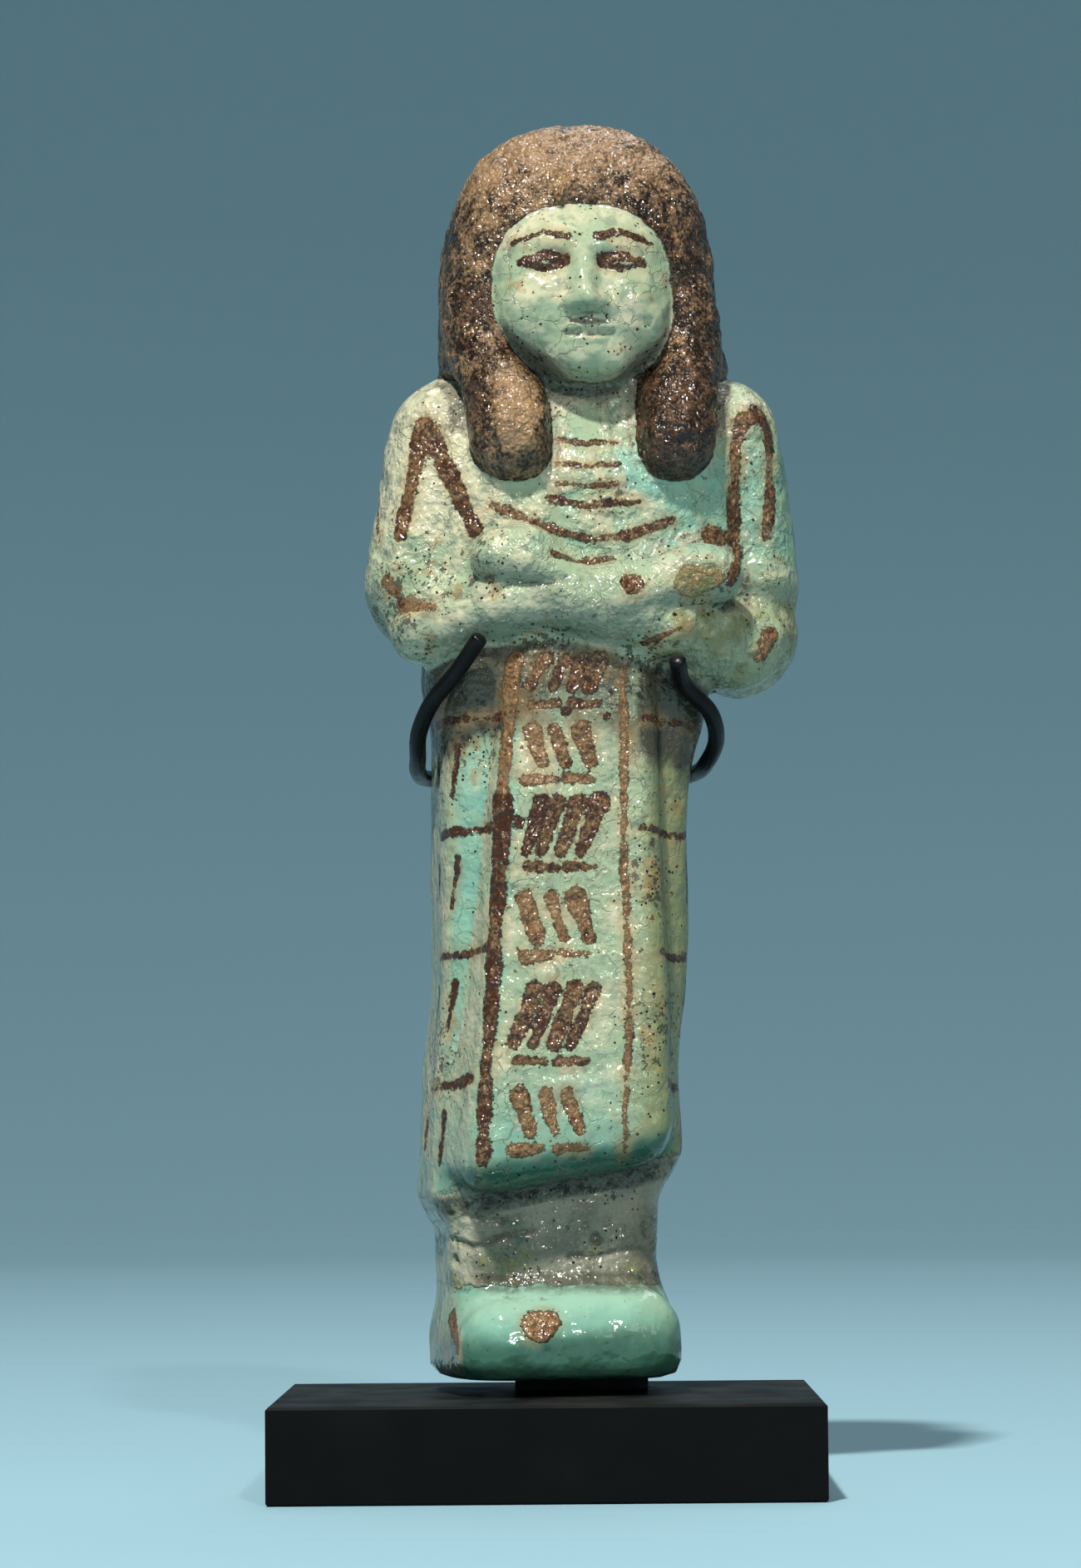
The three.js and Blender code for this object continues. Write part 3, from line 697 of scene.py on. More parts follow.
def placed(points):
    """From the figure's own frame to the row's frame, in metres: turned, stepped and stood up."""
    x = points[:, 0] * math.cos(TURN) - points[:, 1] * math.sin(TURN) + SIDESTEP
    y = points[:, 0] * math.sin(TURN) + points[:, 1] * math.cos(TURN) + SETBACK
    return np.stack([x * MM, y * MM, points[:, 2] * MM + sole_height], axis=-1)


def in_scene(name, data):
    """A new object in the scene, at the origin, from its mesh, lamp or lens."""
    made = bpy.data.objects.new(name, data)
    bpy.context.scene.collection.objects.link(made)
    return made


def piece_of(name, points, faces):
    """A smooth mesh object from its points and faces."""
    mesh = bpy.data.meshes.new(name)
    mesh.from_pydata(points, [], faces)
    mesh.shade_smooth()
    return in_scene(name, mesh)


def closed_skin(name, grid, first, last):
    """A mesh from rows of rings, with a point closing each end. Faces point out."""
    rows, columns = grid.shape[:2]
    points = np.concatenate([[first], grid.reshape(-1, 3), [last]])
    at = 1 + np.arange(rows * columns).reshape(rows, columns)
    after = np.roll(at, -1, axis=1)
    quads = np.stack([at[:-1], after[:-1], after[1:], at[1:]], axis=-1).reshape(-1, 4)
    lower = np.stack([np.zeros(columns, int), after[0], at[0]], axis=-1)
    upper = np.stack([np.full(columns, len(points) - 1), at[-1], after[-1]], axis=-1)
    return piece_of(name, points.tolist(), lower.tolist() + quads.tolist() + upper.tolist())


def with_ends(grid):
    """The skin's rows with rings across the flat underside put before them."""
    rim = grid[0].copy()
    rim[:, 2] = 0
    middle = rim.mean(axis=0)
    inner = [lerp(middle, rim, share) for share in (0.25, 0.5, 0.75, 0.95)]
    return np.concatenate([inner, grid]), middle


def give(piece, name, values):
    """Stores one number for every vertex of a piece, for its material to read."""
    attribute = piece.data.attributes.new(name, "FLOAT", "POINT")
    attribute.data.foreach_set("value", np.asarray(values, np.float32))


plain = evened(first_grid())
skin_grid, underside_middle = with_ends(plain)
crown_top = reach(axis_at(np.array([HEAD_MIDDLE])), np.array([[0.0, 0.0, 1.0]]))
points = np.concatenate([[underside_middle], skin_grid.reshape(-1, 3), crown_top])
own = np.stack(upright(points), axis=-1)
wig_edge = wig(*own.T) - np.minimum(face(*own.T), np.minimum(core(*own.T), arms(*own.T)))
stroke_edge, stroke_tone = painted(own)
stroke_edge = np.where(wig_edge < 0, FAR_OFF, stroke_edge)
normals = outward(points)
rest_flat = rise(points[:, 2], 0.15, 1.2)
crack_depth, crack_dirt = cracked(own)
height_out = (relief(points, own, rise(-wig_edge, -0.2, 0.5), stroke_edge) - crack_depth) * rest_flat
hollow, wide_hollow = (np.clip(1 - figure(points + normals * out) / out, 0, 1) for out in (3, 8))
surface = points + normals * height_out[:, None]
surface[-1] = surface[-1 - COLUMNS : -1].mean(axis=0)
sooty = np.max([close_to(own, middle, radius) for middle, radius in SOOTY], axis=0)
# Painted shade and dirt under the arms: strong where an arm lies 7 mm above a point, half as strong in
# the middle, fading out between 86 and 90 mm up.
above = (own + [0, 0, 7]).T
shade_and_dirt_under_arms = np.clip(1 - np.maximum(arms(*above), 0) / 7, 0, 1) * rise(arms(*own.T), 0.2, 1.6)
shade_and_dirt_under_arms *= lerp(0.5, 1, rise(np.abs(own[:, 0]), 6, 9)) * rise(-own[:, 2], -90, -86)
world = placed(surface)

figurine = closed_skin("figurine_glazed", world[1:-1].reshape(-1, COLUMNS, 3), world[0], world[-1])
given = {
    "wig_edge": wig_edge,
    "stroke_edge": stroke_edge,
    "stroke_tone": stroke_tone,
    "hollow": hollow,
    "wide_hollow": wide_hollow,
    "sooty": sooty,
    "crack_dirt": crack_dirt,
    "shade_and_dirt_under_arms": shade_and_dirt_under_arms,
    "across": own[:, 0],
    "height": own[:, 2],
    "facing_side": normals[:, 0],
    "facing_up": normals[:, 2],
}
for name, values in given.items():
    give(figurine, name, values)


# ---- The figurine: its glaze ----
# Faience fires its own glaze: thin, glassy and full of specks. It pools turquoise at the hem and on
# the foot, turns olive where it is thin on the right, and leaves the gritty body bare in hollows.

CELADON = (0.285, 0.35, 0.22, 1)
CREAM = (0.5, 0.465, 0.31, 1)
TURQUOISE = (0.15, 0.355, 0.275, 1)
POOLED_GLAZE_AND_SHADE = (0.024, 0.092, 0.06, 1)
OLIVE = (0.165, 0.17, 0.07, 1)
DULL_GLAZE_AND_SHADE = (0.19, 0.22, 0.155, 1)
PALE_GREEN = (0.26, 0.42, 0.31, 1)
STAIN = (0.27, 0.16, 0.055, 1)
PALE_GRIT = (0.36, 0.33, 0.23, 1)
DARK_GRIT = (0.12, 0.11, 0.08, 1)
DIRT_AND_SHADE = (0.035, 0.031, 0.022, 1)
SOOT = (0.012, 0.01, 0.008, 1)
PAINT_DARK = (0.045, 0.015, 0.007, 1)
PAINT_PALE = (0.235, 0.13, 0.057, 1)
WIG_DARK = (0.013, 0.007, 0.004, 1)
WIG_BROWN = (0.1, 0.05, 0.025, 1)
WIG_LIGHT = (0.27, 0.163, 0.085, 1)


# Specks: the size of a cell in millimetres, the share of cells filled, and the radius in cells.
SPECK_SIZES = ((2.1, 0.5, 0.09), (1.1, 0.5, 0.16), (0.6, 0.45, 0.27))


def specks_of_soot(tree, place, frayed, chance):
    """Round specks of three sizes, one in each cell whose own random number is under the chance."""
    specks = 0.0
    for cell, share, radius in SPECK_SIZES:
        cells = node(tree, "TexVoronoi", {"Vector": place, "Scale": 1 / (cell * MM)})
        number = node(tree, "SeparateColor", {0: cells.outputs["Color"]}).outputs[0]
        chosen = maths(tree, "LESS_THAN", number, maths(tree, "MULTIPLY", chance, share))
        edge = maths(tree, "ADD", cells.outputs["Distance"], frayed)
        dot = maths(tree, "MULTIPLY", ramp(tree, edge, radius * 0.7, radius, 1, 0), chosen)
        specks = maths(tree, "MAXIMUM", specks, dot)
    return specks


def crazing(tree, place, waver):
    """Hair cracks between the cells of a swaying net: 1 along each crack."""
    sway = node(tree, "TexNoise", {"Vector": place, "Scale": 1 / (2 * MM), "Detail": 3.0})
    inputs = {0: sway.outputs["Color"], 1: (2.4 * MM,) * 3, 2: place}
    bent = node(tree, "VectorMath", inputs, operation="MULTIPLY_ADD").outputs[0]
    cells = {"Vector": bent, "Scale": 1 / (2.6 * MM)}
    net = node(tree, "TexVoronoi", cells, feature="DISTANCE_TO_EDGE").outputs["Distance"]
    return ramp(tree, maths(tree, "ADD", net, waver), 0.0, 0.035, 1, 0)


def glaze():
    """The figurine's finish: glaze colours by thickness, bare grit, dirt, painted light and shade,
    specks, paint and the wig.
    """
    material, tree, shader, place = new_material("glazed_faience")
    elsewhere = node(tree, "Mapping", {"Vector": place, "Location": (0.31, 0.17, 0.23)}).outputs[0]

    def stored(name):
        """One of the piece's own numbers."""
        return node(tree, "Attribute", attribute_name=name).outputs["Fac"]

    def chained(operation):
        """A sum on any number of values, taken one after another."""
        def total(first, *others):
            for other in others:
                first = maths(tree, operation, first, other)
            return first
        return total

    def curve(value, low, high, to_low=0.0, to_high=1.0):
        """An S-curve, on this material's own tree."""
        return ramp(tree, value, low, high, to_low, to_high)

    def blend(share, first, second):
        """Two colours mixed, on this material's own tree."""
        return mix(tree, share, first, second)

    def around(value, size):
        """Noise made to swing by size, half each way, so that it can waver an edge."""
        return times(minus(value, 0.5), size)

    def band(value, low, high, soft):
        """1 between two levels, and 0 outside them."""
        return times(curve(value, low - soft, low + soft), curve(value, high + soft, high - soft))

    plus, minus, times, most = map(chained, ("ADD", "SUBTRACT", "MULTIPLY", "MAXIMUM"))
    broad, patch = grain(tree, place, 15, 4), grain(tree, place, 4.5, 5, 0.6)
    fine, grit = grain(tree, place, 1.2, 5, 0.65), grain(tree, place, 0.42, 4, 0.7)
    blotch, cluster = grain(tree, elsewhere, 7, 4, 0.6), grain(tree, elsewhere, 2.6, 4, 0.65)
    up, across = stored("height"), stored("across")
    faces_up, faces_side = stored("facing_up"), stored("facing_side")
    hollows, wide_hollows, sooty = stored("hollow"), stored("wide_hollow"), stored("sooty")
    painted_edge, tone = stored("stroke_edge"), stored("stroke_tone")
    above_hem = plus(up, times(across, -HEM_ASLOPE))
    on_foot = curve(up, FOOT_TOP + 1.9, FOOT_TOP - 0.6)

    # Glaze colour: turquoise where it is thick, cream where it is thin, and olive on the right, with
    # painted light on the left shoulder and the foot's top, and painted shade under the elbows, under
    # the hem and low on the foot.
    side_on = plus(faces_side, around(patch, 0.5))
    left_face = times(band(side_on, -0.8, -0.2, 0.15), curve(up, ELBOW - 4, ELBOW - 22), 0.85)
    low_down = times(curve(plus(above_hem, around(broad, 30)), 38, 22), 0.9)
    in_patches = curve(plus(blotch, times(across, 0.012)), 0.44, 0.58, 0, 0.8)
    on_chest = times(band(up, WRIST + 5, SHOULDER - 1, 3), in_patches)
    thick = most(left_face, low_down, times(on_foot, 0.85), on_chest)
    thick = times(thick, curve(patch, 0.25, 0.6, 0.4, 1))
    # Cream glaze, pushed paler on the left shoulder: partly the glaze's own tone, partly painted light
    # where the key falls.
    left_shoulder_cream_and_light = times(curve(across, -9, -13), curve(up, SHOULDER - 14, SHOULDER - 8))
    colour = blend(curve(plus(patch, times(left_shoulder_cream_and_light, 0.25)), 0.42, 0.66), CELADON, CREAM)
    colour = blend(curve(plus(cluster, around(fine, 0.5)), 0.47, 0.33, 0, 0.65), colour, DULL_GLAZE_AND_SHADE)
    colour = blend(thick, colour, TURQUOISE)
    # Painted shade: faces turned down just under the elbows go dull and darker.
    arm_underside_shade = curve(plus(faces_up, around(patch, 0.5)), 0.15, -0.35, 0, 0.8)
    colour = blend(times(band(up, ELBOW - 2, ELBOW + 7, 2), arm_underside_shade), colour, DULL_GLAZE_AND_SHADE)
    # Painted light: the foot's upward faces are paler green, as if lit from above.
    colour = blend(times(on_foot, curve(faces_up, 0.3, 0.8, 0, 0.8)), colour, PALE_GREEN)
    to_right = curve(plus(across, around(broad, 14)), 4, 11)
    to_right = times(to_right, curve(up, ELBOW + 8, ELBOW, 0.3, 1))
    thin = times(most(to_right, curve(blotch, 0.58, 0.72, 0, 0.7)), curve(on_foot, 0, 1, 1, 0.4))
    olive = times(thin, curve(plus(cluster, around(patch, 0.6)), 0.36, 0.62, 0.1, 0.9))
    right_flank = times(curve(plus(across, around(patch, 5)), 5.6, 8.8), curve(up, ELBOW, ELBOW - 8))
    right_flank = times(right_flank, curve(on_foot, 0, 1, 0.8, 0.16))
    colour = blend(most(olive, right_flank), colour, OLIVE)
    stain = curve(plus(cluster, times(sooty, 0.12)), 0.58, 0.72, 0, 0.6)
    colour = blend(times(stain, curve(up, 20, 30)), colour, STAIN)
    # Painted shade, partly pooled glaze: faces turned down under the hem's edge, and low on the foot,
    # go dark green.
    downwards = curve(plus(faces_up, around(patch, 0.4)), 0.12, -0.3)
    under_hem = times(band(above_hem, HEM - 1, HEM + 4.5, 1.2), downwards)
    on_sole = times(curve(plus(up, around(patch, 5)), 8, 3, 0, 0.95), curve(faces_up, 0.6, 0))
    colour = blend(times(most(under_hem, on_sole), 0.95), colour, POOLED_GLAZE_AND_SHADE)

    # The gritty body shows in hollows, at the ankles and in worn patches.
    ankles = curve(plus(up, around(patch, 2)), FOOT_TOP, FOOT_TOP + 1.2)
    ankles = times(ankles, curve(above_hem, HEM + 2.4, HEM + 0.6), curve(faces_up, -0.65, -0.4))
    throat = times(band(up, WIG_END - 11, WIG_END, 3), 0.35)
    bare = plus(most(hollows, times(wide_hollows, 0.8), times(ankles, 0.9), throat), around(fine, 1))
    kilt_side = times(curve(side_on, -0.72, -0.95), curve(up, ELBOW + 2, ELBOW - 6, 0, 0.55))
    bare = curve(plus(most(bare, kilt_side), around(patch, 0.7)), 0.36, 0.7, 0, 0.9)
    # Grit is pale on the figure's far left, the side towards the key, and dark elsewhere below the
    # elbows: partly the body's own tone, partly painted light and shade.
    right_of_edge = plus(across, around(patch, 3))
    dark_grit_and_shade = times(curve(right_of_edge, -10.5, -8.5), curve(up, ELBOW + 8, ELBOW))
    dark_grit_and_shade = times(dark_grit_and_shade, curve(blotch, 0.35, 0.6, 0.55, 1))
    colour = blend(bare, colour, blend(dark_grit_and_shade, PALE_GRIT, DARK_GRIT))
    drips = times(ankles, curve(plus(blotch, around(cluster, 0.8)), 0.52, 0.62, 0, 0.8))
    colour = blend(drips, colour, blend(curve(patch, 0.42, 0.58), POOLED_GLAZE_AND_SHADE, OLIVE))

    # Dirt and painted shade darken under the arms, just above the foot, under the hem's edge and in
    # hollows; dirt alone lies in the cracks.
    below_arms = plus(stored("shade_and_dirt_under_arms"), around(patch, 1.1), around(fine, 0.5))
    below_arms = curve(below_arms, 0.1, 0.6, 0, 0.92)
    shade_and_dirt_above_foot = band(plus(up, around(patch, 1.5)), FOOT_TOP - 0.1, FOOT_TOP + 2.2, 0.5)
    shade_and_dirt_above_foot = times(shade_and_dirt_above_foot, curve(right_of_edge, -10.5, -8.5, 0, 0.8))
    shade_and_dirt_above_foot = times(shade_and_dirt_above_foot, curve(fine, 0.35, 0.5, 0.3, 0.8))
    shade_and_dirt_under_hem = times(band(above_hem, HEM - 1.2, HEM + 1, 0.6), ankles, curve(fine, 0.4, 0.55, 0.3, 0.85))
    shade_and_dirt_in_creases = curve(plus(hollows, around(cluster, 0.7)), 0.4, 0.75, 0, 0.5)
    in_cracks = times(stored("crack_dirt"), curve(fine, 0.35, 0.6, 0.95, 0.4))
    colour = blend(most(below_arms, shade_and_dirt_above_foot, shade_and_dirt_under_hem, shade_and_dirt_in_creases, in_cracks), colour, DIRT_AND_SHADE)

    # Crazing in some patches only, and specks of soot, single and in clusters, where the glaze boiled.
    hair_crack = times(crazing(tree, place, around(fine, 0.12)), curve(blotch, 0.46, 0.58))
    hair_crack = times(hair_crack, curve(bare, 0.2, 0.5, 1, 0), curve(on_foot, 0, 1, 1, 0))
    colour = blend(times(hair_crack, 0.5), colour, DARK_GRIT)
    chance = plus(curve(cluster, 0.5, 0.68), times(hollows, 0.7), times(sooty, 1.2))
    specks = specks_of_soot(tree, place, plus(around(grit, 0.55), around(fine, 0.45)), chance)
    soot = curve(plus(fine, times(hollows, 0.08), times(sooty, 0.12)), 0.65, 0.7, 0, 0.75)
    specks = times(most(specks, soot), curve(on_foot, 0, 1, 1, 0.3))
    colour = blend(specks, colour, SOOT)

    # Paint: its edge wavers with the brush, and its tone breaks up with the grit.
    wavering = plus(painted_edge, around(fine, 1.1), around(grit, 1), around(patch, 0.8))
    bleed = times(curve(wavering, 1.3, 0.1), curve(patch, 0.4, 0.62, 0, 0.45))
    colour = blend(bleed, colour, STAIN)
    paint = curve(wavering, 0.12, -0.16)
    broken = plus(tone, around(patch, 1.2), around(fine, 2.2), around(grit, 2.4))
    ink = blend(curve(broken, -0.1, 1.0), PAINT_DARK, PAINT_PALE)
    ink = blend(times(curve(tone, 1, 1.2), curve(cluster, 0.4, 0.56, 0.3, 0.9)), ink, OLIVE)
    lost = curve(plus(grit, around(patch, 0.6)), 0.6, 0.76, 1, 0.2)
    colour = blend(times(paint, lost), colour, ink)

    # The wig: coarse brown paint, worn pale on the crown and on the left lappet, with a pale rim.
    hair_edge = plus(stored("wig_edge"), around(fine, 1.2))
    rim = times(band(hair_edge, 0.1, 0.6, 0.2), curve(patch, 0.42, 0.6, 0, 0.7))
    colour = blend(rim, colour, PALE_GRIT)
    hair = curve(hair_edge, 0.15, -0.15)
    grains = plus(around(fine, 1.3), around(grit, 1.6))
    strand = blend(curve(plus(grains, cluster), 0.3, 0.8), WIG_DARK, WIG_BROWN)
    # The wig is paler towards its left, the side towards the key: partly worn paint, partly painted
    # light.
    wig_left_wear_and_light = times(curve(plus(across, around(broad, 12)), 5, -7), 0.22)
    on_lappet = band(up, LAPPET_END - 1.4, WIG_END - 1, 2.2)
    on_lappet = times(on_lappet, band(across, -11, -7.4, 1.6), 0.5)
    on_crown = times(curve(plus(up, around(broad, 14)), TEMPLE + 7, TEMPLE + 19), 0.46)
    on_rim = curve(maths(tree, "ABSOLUTE", plus(across, 9.2)), 2.4, 4, 0, 0.35)
    on_rim = times(curve(up, WIG_END + 1, WIG_END - 2), on_rim)
    worn = plus(minus(plus(wig_left_wear_and_light, on_lappet, on_crown), on_rim), around(cluster, 1.3))
    worn = minus(plus(worn, grains, around(patch, 0.9)), times(sooty, 0.5))
    strand = blend(curve(worn, -0.05, 0.75), strand, WIG_LIGHT)
    reddened = times(curve(blotch, 0.56, 0.68, 0, 0.45), curve(worn, 0, 0.4))
    strand = blend(reddened, strand, STAIN)
    colour = blend(hair, colour, strand)

    # Thick glaze lies smooth. Everything coarse is grainy, and each grain glints.
    coarse = most(times(bare, 0.6), hair, times(paint, 0.9))
    calm = most(on_foot, curve(above_hem, 34, 24), times(curve(up, ELBOW, ELBOW - 14), 0.5))
    calm = most(calm, curve(up, WIG_END - 2, WIG_END + 1, 0, 0.75), curve(patch, 0.58, 0.4, 0, 0.7))
    rough = most(curve(calm, 0, 1, 0.75, 0.12), coarse)
    gloss = plus(curve(coarse, 0, 1, 0.1, 0.16), times(around(fine, 0.1), rough))
    swell, ripple, facet = (grain(tree, place, size, 1) for size in (4, 1.5, 0.6))
    lumps = plus(times(swell, 0.8), times(ripple, curve(rough, 0, 1, 0.15, 0.6)))
    lumps = plus(lumps, times(facet, rough, curve(coarse, 0, 1, 0.26, 0.5)))
    lumps = minus(lumps, times(specks, 0.1), times(hair_crack, 0.06))
    bump = node(tree, "Bump", {"Strength": 1.0, "Distance": 1.0 * MM, "Height": lumps})
    shader.inputs["Specular IOR Level"].default_value = 0.42
    feed(tree, shader, Base_Color=colour, Roughness=gloss, Normal=bump.outputs[0])
    return material


figurine.data.materials.append(glaze())
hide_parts("figurine")
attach(figurine, "root")


# ---- The rest pad ----
# A small slip of dense black rubber, cut square with a knife. It lies between the block and the
# front part of the sole, touches both, and levels the figure.

RUBBER_BLACK = (0.006, 0.006, 0.0065, 1)
RUBBER_BLOOM = (0.022, 0.022, 0.022, 1)

pad_low, pad_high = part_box("rest_pad")


def soft_block(name, low, high, radius, rings=6):
    """A block with rounded edges and rims: rows of rounded rectangles, drawn in at each rim."""
    middle = (low + high) / 2
    half = (high - low) / 2
    quarter = np.linspace(0, math.pi / 2, rings)
    corner = np.stack([np.cos(quarter), np.sin(quarter)], axis=-1)
    signs = [(1, 1), (-1, 1), (-1, -1), (1, -1)]
    ring = []
    for turn, (right, up) in enumerate(signs):
        part = corner if turn % 2 == 0 else corner[::-1]
        ring.append(np.array([right, up]) * (half[:2] - radius + part * radius))
    ring = np.concatenate(ring)
    inset = radius * (1 - np.sin(quarter))
    rows = [(draw, -half[2] + radius * (1 - math.cos(q))) for draw, q in zip(inset, quarter)]
    rows += [(draw, -up) for draw, up in reversed(rows)]
    level = np.ones(len(ring))
    grid = [np.column_stack([ring * (1 - draw / half[:2]), level * up]) for draw, up in rows]
    lift = [0, 0, half[2]]
    return closed_skin(name, np.array(grid) + middle, middle - lift, middle + lift)


def rubber():
    """Dense black rubber: nearly matt, with a faint bloom and moulding grain."""
    material, tree, shader, place = new_material("black_rubber")
    bloom = ramp(tree, grain(tree, place, 3, 4), 0.45, 0.75, 0, 0.35)
    colour = mix(tree, bloom, RUBBER_BLACK, RUBBER_BLOOM)
    gloss = ramp(tree, grain(tree, place, 1.2), 0.3, 0.7, 0.62, 0.8)
    moulding = grain(tree, place, 0.25)
    bump = node(tree, "Bump", {"Strength": 0.4, "Distance": 0.04 * MM, "Height": moulding})
    feed(tree, shader, Base_Color=colour, Roughness=gloss, Normal=bump.outputs[0])
    return material


pad_bottom = np.array([pad_low.x, pad_low.y, block_top])
pad_top = np.array([pad_high.x, pad_high.y, sole_height])
pad = soft_block("rest_pad_rubber", pad_bottom, pad_top, 0.25 * MM)
pad.data.materials.append(rubber())
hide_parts("rest_pad")
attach(pad, "root")


# ---- The wire cradle ----
# A steel post with two prongs of round wire brazed to its top. The prongs were bent by hand to
# follow the waist and hook up under the forearms, then dipped in satin black paint.

WIRE_BLACK = (0.004, 0.004, 0.0045, 1)
WIRE_WORN = (0.011, 0.011, 0.012, 1)
WIRE, POST, CLEAR = 0.95, 1.3, 0.3  # the two radii, and the gap between wire and figure
CLAMP_HEIGHT = WAIST - 0.3

# Stops along each prong, from the back to the tip: degrees from the front, height, and bow outwards.
PRONGS = {
    -1: [
        (158, 68.2, 0.3), (128, 68.2, 0.5), (104, 68.6, 0.5), (90, 69.8, 0.9),
        (78, 72.3, 1.1), (66, 75.6, 0.6), (56, 78.9, 0.4), (47, 82.2, 0.2),
    ],
    1: [
        (158, 68.2, 0.3), (128, 68.2, 0.5), (104, 68.5, 0.5), (88, 69.3, 0.8),
        (74, 71.6, 0.9), (59, 74.5, 0.5), (46, 77.3, 0.4), (35, 79.7, 0.2),
    ],
}


def beside(angle, height, distance):
    """A place this far from the figure's surface, at an angle from its front and a height."""
    turn = math.radians(angle)
    outwards = np.array([[math.sin(turn), -math.cos(turn), 0.0]])
    return reach(axis_at(np.array([float(height)])), outwards, distance)[0]


def catmull_rom(stops, per_span=14):
    """A smooth curve through stops. Knots are spaced by the square root of each span's length."""
    ends = [2 * stops[0] - stops[1], *stops, 2 * stops[-1] - stops[-2]]
    curve = []
    for a, b, c, d in zip(ends, ends[1:], ends[2:], ends[3:]):
        t = np.cumsum([0.0] + [math.sqrt(np.linalg.norm(q - p)) for p, q in ((a, b), (b, c), (c, d))])
        for u in np.linspace(t[1], t[2], per_span, endpoint=False):
            ab = lerp(a, b, (u - t[0]) / (t[1] - t[0]))
            bc = lerp(b, c, (u - t[1]) / (t[2] - t[1]))
            cd = lerp(c, d, (u - t[2]) / (t[3] - t[2]))
            abc = lerp(ab, bc, (u - t[0]) / (t[2] - t[0]))
            bcd = lerp(bc, cd, (u - t[1]) / (t[3] - t[1]))
            curve.append(lerp(abc, bcd, (u - t[1]) / (t[2] - t[1])))
    return np.array(curve + [stops[-1]])


def rod(path, radius, sides=20, cap=5):
    """Rings of a round rod along a path, each at right angles to it, with domed ends."""
    along = unit(np.gradient(path, axis=0))
    side = unit(np.cross(along, [0.31, 0.2, 1.0]))
    other = np.cross(along, side)
    dome = np.linspace(0.12, math.pi / 2, cap)
    shift = np.concatenate([-np.cos(dome), np.zeros(len(path) - 2), np.cos(dome)[::-1]]) * radius * 0.45
    size = np.concatenate([np.sin(dome), np.ones(len(path) - 2), np.sin(dome)[::-1]]) * radius
    last = len(path) - 1
    pick = np.concatenate([np.zeros(cap, int), np.arange(1, last), np.full(cap, last)])
    turn = np.arange(sides) * 2 * math.pi / sides
    middle = path[pick] + along[pick] * shift[:, None]
    spoke = side[pick, None] * np.cos(turn)[:, None] + other[pick, None] * np.sin(turn)[:, None]
    grid = middle[:, None] + spoke * size[:, None, None]
    return grid, middle[0], middle[-1]


def satin_black():
    """Satin black paint on wire: small runs and dimples, and rubbed highlights along its length."""
    material, tree, shader, place = new_material("satin_black")
    rubbed = ramp(tree, grain(tree, place, 2.5, 4), 0.5, 0.75, 0, 0.5)
    values = {"Place": place, "Motes per metre": 700, "Mote share": 0.04, "Film": 0.08}
    dust = node(tree, "Group", values, node_tree=DUST)
    colour = mix(tree, rubbed, WIRE_BLACK, WIRE_WORN)
    colour = mix(tree, dust.outputs["Mask"], colour, DUST_COLOUR)
    gloss = ramp(tree, grain(tree, place, 1.5), 0.3, 0.7, 0.24, 0.38)
    dimples = grain(tree, place, 0.7)
    bump = node(tree, "Bump", {"Strength": 0.5, "Distance": 0.05 * MM, "Height": dimples})
    shader.inputs["Specular IOR Level"].default_value = 0.15
    feed(tree, shader, Base_Color=colour, Roughness=gloss, Normal=bump.outputs[0])
    return material


post_foot = max(beside(180, height, POST + CLEAR)[1] for height in (FOOT_TOP / 2, HEM, CLAMP_HEIGHT))
post_top = np.array([axis_at(np.array([CLAMP_HEIGHT]))[0, 0], post_foot, CLAMP_HEIGHT])
cradle_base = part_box("wire_cradle")[0].z
satin = satin_black()
post_heights = np.linspace((cradle_base - sole_height) / MM, CLAMP_HEIGHT + POST, 24)
post_path = np.array([[*post_top[:2], up] for up in post_heights])
routes = {"cradle_post": (post_path, POST)}
for side, stops in PRONGS.items():
    places = [post_top] + [beside(side * angle, up, WIRE + CLEAR + bow) for angle, up, bow in stops]
    routes["cradle_prong_left" if side < 0 else "cradle_prong_right"] = (catmull_rom(places), WIRE)
for name, (path, radius) in routes.items():
    grid, first, last = rod(path, radius)
    grid = placed(grid.reshape(-1, 3)).reshape(grid.shape)
    piece = closed_skin(name, grid, placed(first[None])[0], placed(last[None])[0])
    piece.data.materials.append(satin)
    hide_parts("wire_cradle")
    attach(piece, "root")


# ---- Floor, light and camera ----
# A pale paper floor, flat for a metre round, curves up into the backdrop. A small key lamp stands to
# the upper left, a weaker one and a low fill to the right, and a soft one above and behind. A blue
# wash lights the backdrop. The camera sees none of the lamps.

PAPER = (0.225, 0.385, 0.45, 1)
PAPER_PALER = (0.235, 0.395, 0.46, 1)


def studio_floor(flat=1.0, rise_to=3.2, radius=1.3, sides=96):
    """A round floor: flat to a distance, then a quarter circle up, turned about the upright axis."""
    quarter = np.linspace(0, math.pi / 2, 16)
    out = np.concatenate([[0.3, flat * 0.5, flat], flat + radius * np.sin(quarter[1:])])
    up = np.concatenate([[0, 0, 0], radius * (1 - np.cos(quarter[1:]))])
    out, up = np.append(out, out[-1]), np.append(up, rise_to)
    turn = np.arange(sides) * 2 * math.pi / sides
    x, y = out[:, None] * np.sin(turn), out[:, None] * -np.cos(turn)
    grid = np.stack([x, y, np.repeat(up[:, None], sides, axis=1)], axis=-1)
    rows = np.arange(len(out) * sides).reshape(len(out), sides) + 1
    after = np.roll(rows, -1, axis=1)
    quads = np.stack([rows[:-1], rows[1:], after[1:], after[:-1]], axis=-1).reshape(-1, 4)
    centre = np.stack([np.zeros(sides, int), rows[0], after[0]], axis=-1)
    points = [(0, 0, 0), *grid.reshape(-1, 3).tolist()]
    return piece_of("studio_floor", points, centre.tolist() + quads.tolist())


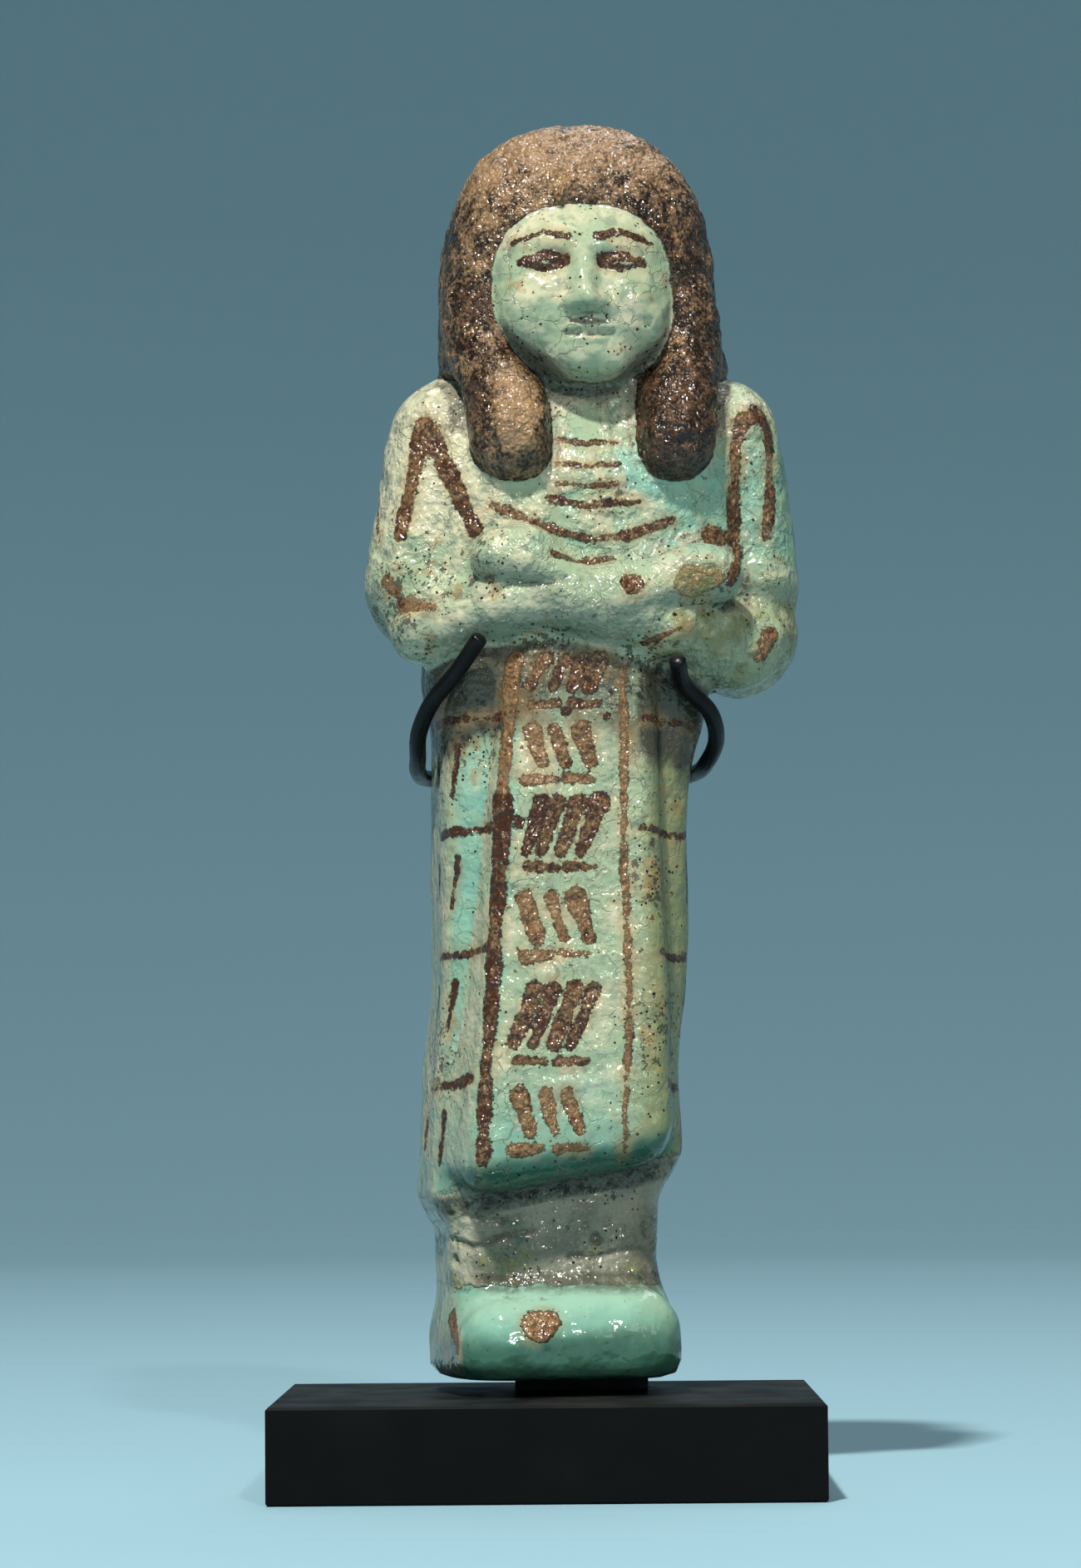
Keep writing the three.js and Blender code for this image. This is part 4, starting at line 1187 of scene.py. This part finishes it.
def pale_paper():
    """Pale, slightly cool backdrop paper."""
    material, tree, shader, place = new_material("pale_paper")
    colour = mix(tree, grain(tree, place, 300), PAPER, PAPER_PALER)
    shader.inputs["Roughness"].default_value = 0.85
    feed(tree, shader, Base_Color=colour)
    return material


def area_light(name, place, target, size, power, colour=(1, 1, 1)):
    """A square lamp that looks at a target."""
    lamp = bpy.data.lights.new(name, "AREA")
    lamp.size, lamp.energy, lamp.color = size, power, colour
    made = in_scene(name, lamp)
    made.location = place
    made.visible_camera = False
    heading = np.subtract(target, place)
    made.rotation_euler = Vector(heading).to_track_quat("-Z", "Y").to_euler()
    return made


floor = studio_floor()
floor.data.materials.append(pale_paper())

chest = (0.004, 0.004, 0.09)
area_light("key", (-0.24, -0.71, 1.24), chest, 0.07, 29, (1, 0.98, 0.94))
area_light("second", (0.25, -1.0, 0.72), chest, 0.05, 5, (1, 0.98, 0.95))
area_light("fill", (0.8, -1.05, 0.48), chest, 0.35, 1.0, (0.97, 0.99, 1))
area_light("top", (0.15, 0.75, 1.3), chest, 0.9, 6, (0.98, 0.99, 1))
area_light("backdrop_wash", (0, 0.9, 2.4), (0, 2.3, 0.7), 1.2, 2.2, (0.4, 0.85, 1))

bpy.context.scene.view_settings.view_transform = "Standard"
world_sky = bpy.data.worlds.new("soft_room")
bpy.context.scene.world = world_sky
world_sky.use_nodes = True
world_sky.node_tree.nodes["Background"].inputs[0].default_value = (0.6, 0.82, 0.95, 1)
world_sky.node_tree.nodes["Background"].inputs[1].default_value = 0.05

lens = bpy.data.cameras.new("camera")
camera = in_scene("camera", lens)
bpy.context.scene.camera = camera
lens.sensor_width = 36
lens.lens = 107
lens.clip_start, lens.clip_end = 0.02, 20
camera.location = (0.0039, -0.524, 0.0393)
camera.rotation_mode = "XYZ"
UPWARDS, LEFTWARDS, ROLL = 4.3, 0.45, -0.5  # degrees
camera.rotation_euler = (math.radians(90 + UPWARDS), 0, math.radians(LEFTWARDS))
camera.rotation_euler.rotate_axis("Z", math.radians(ROLL))
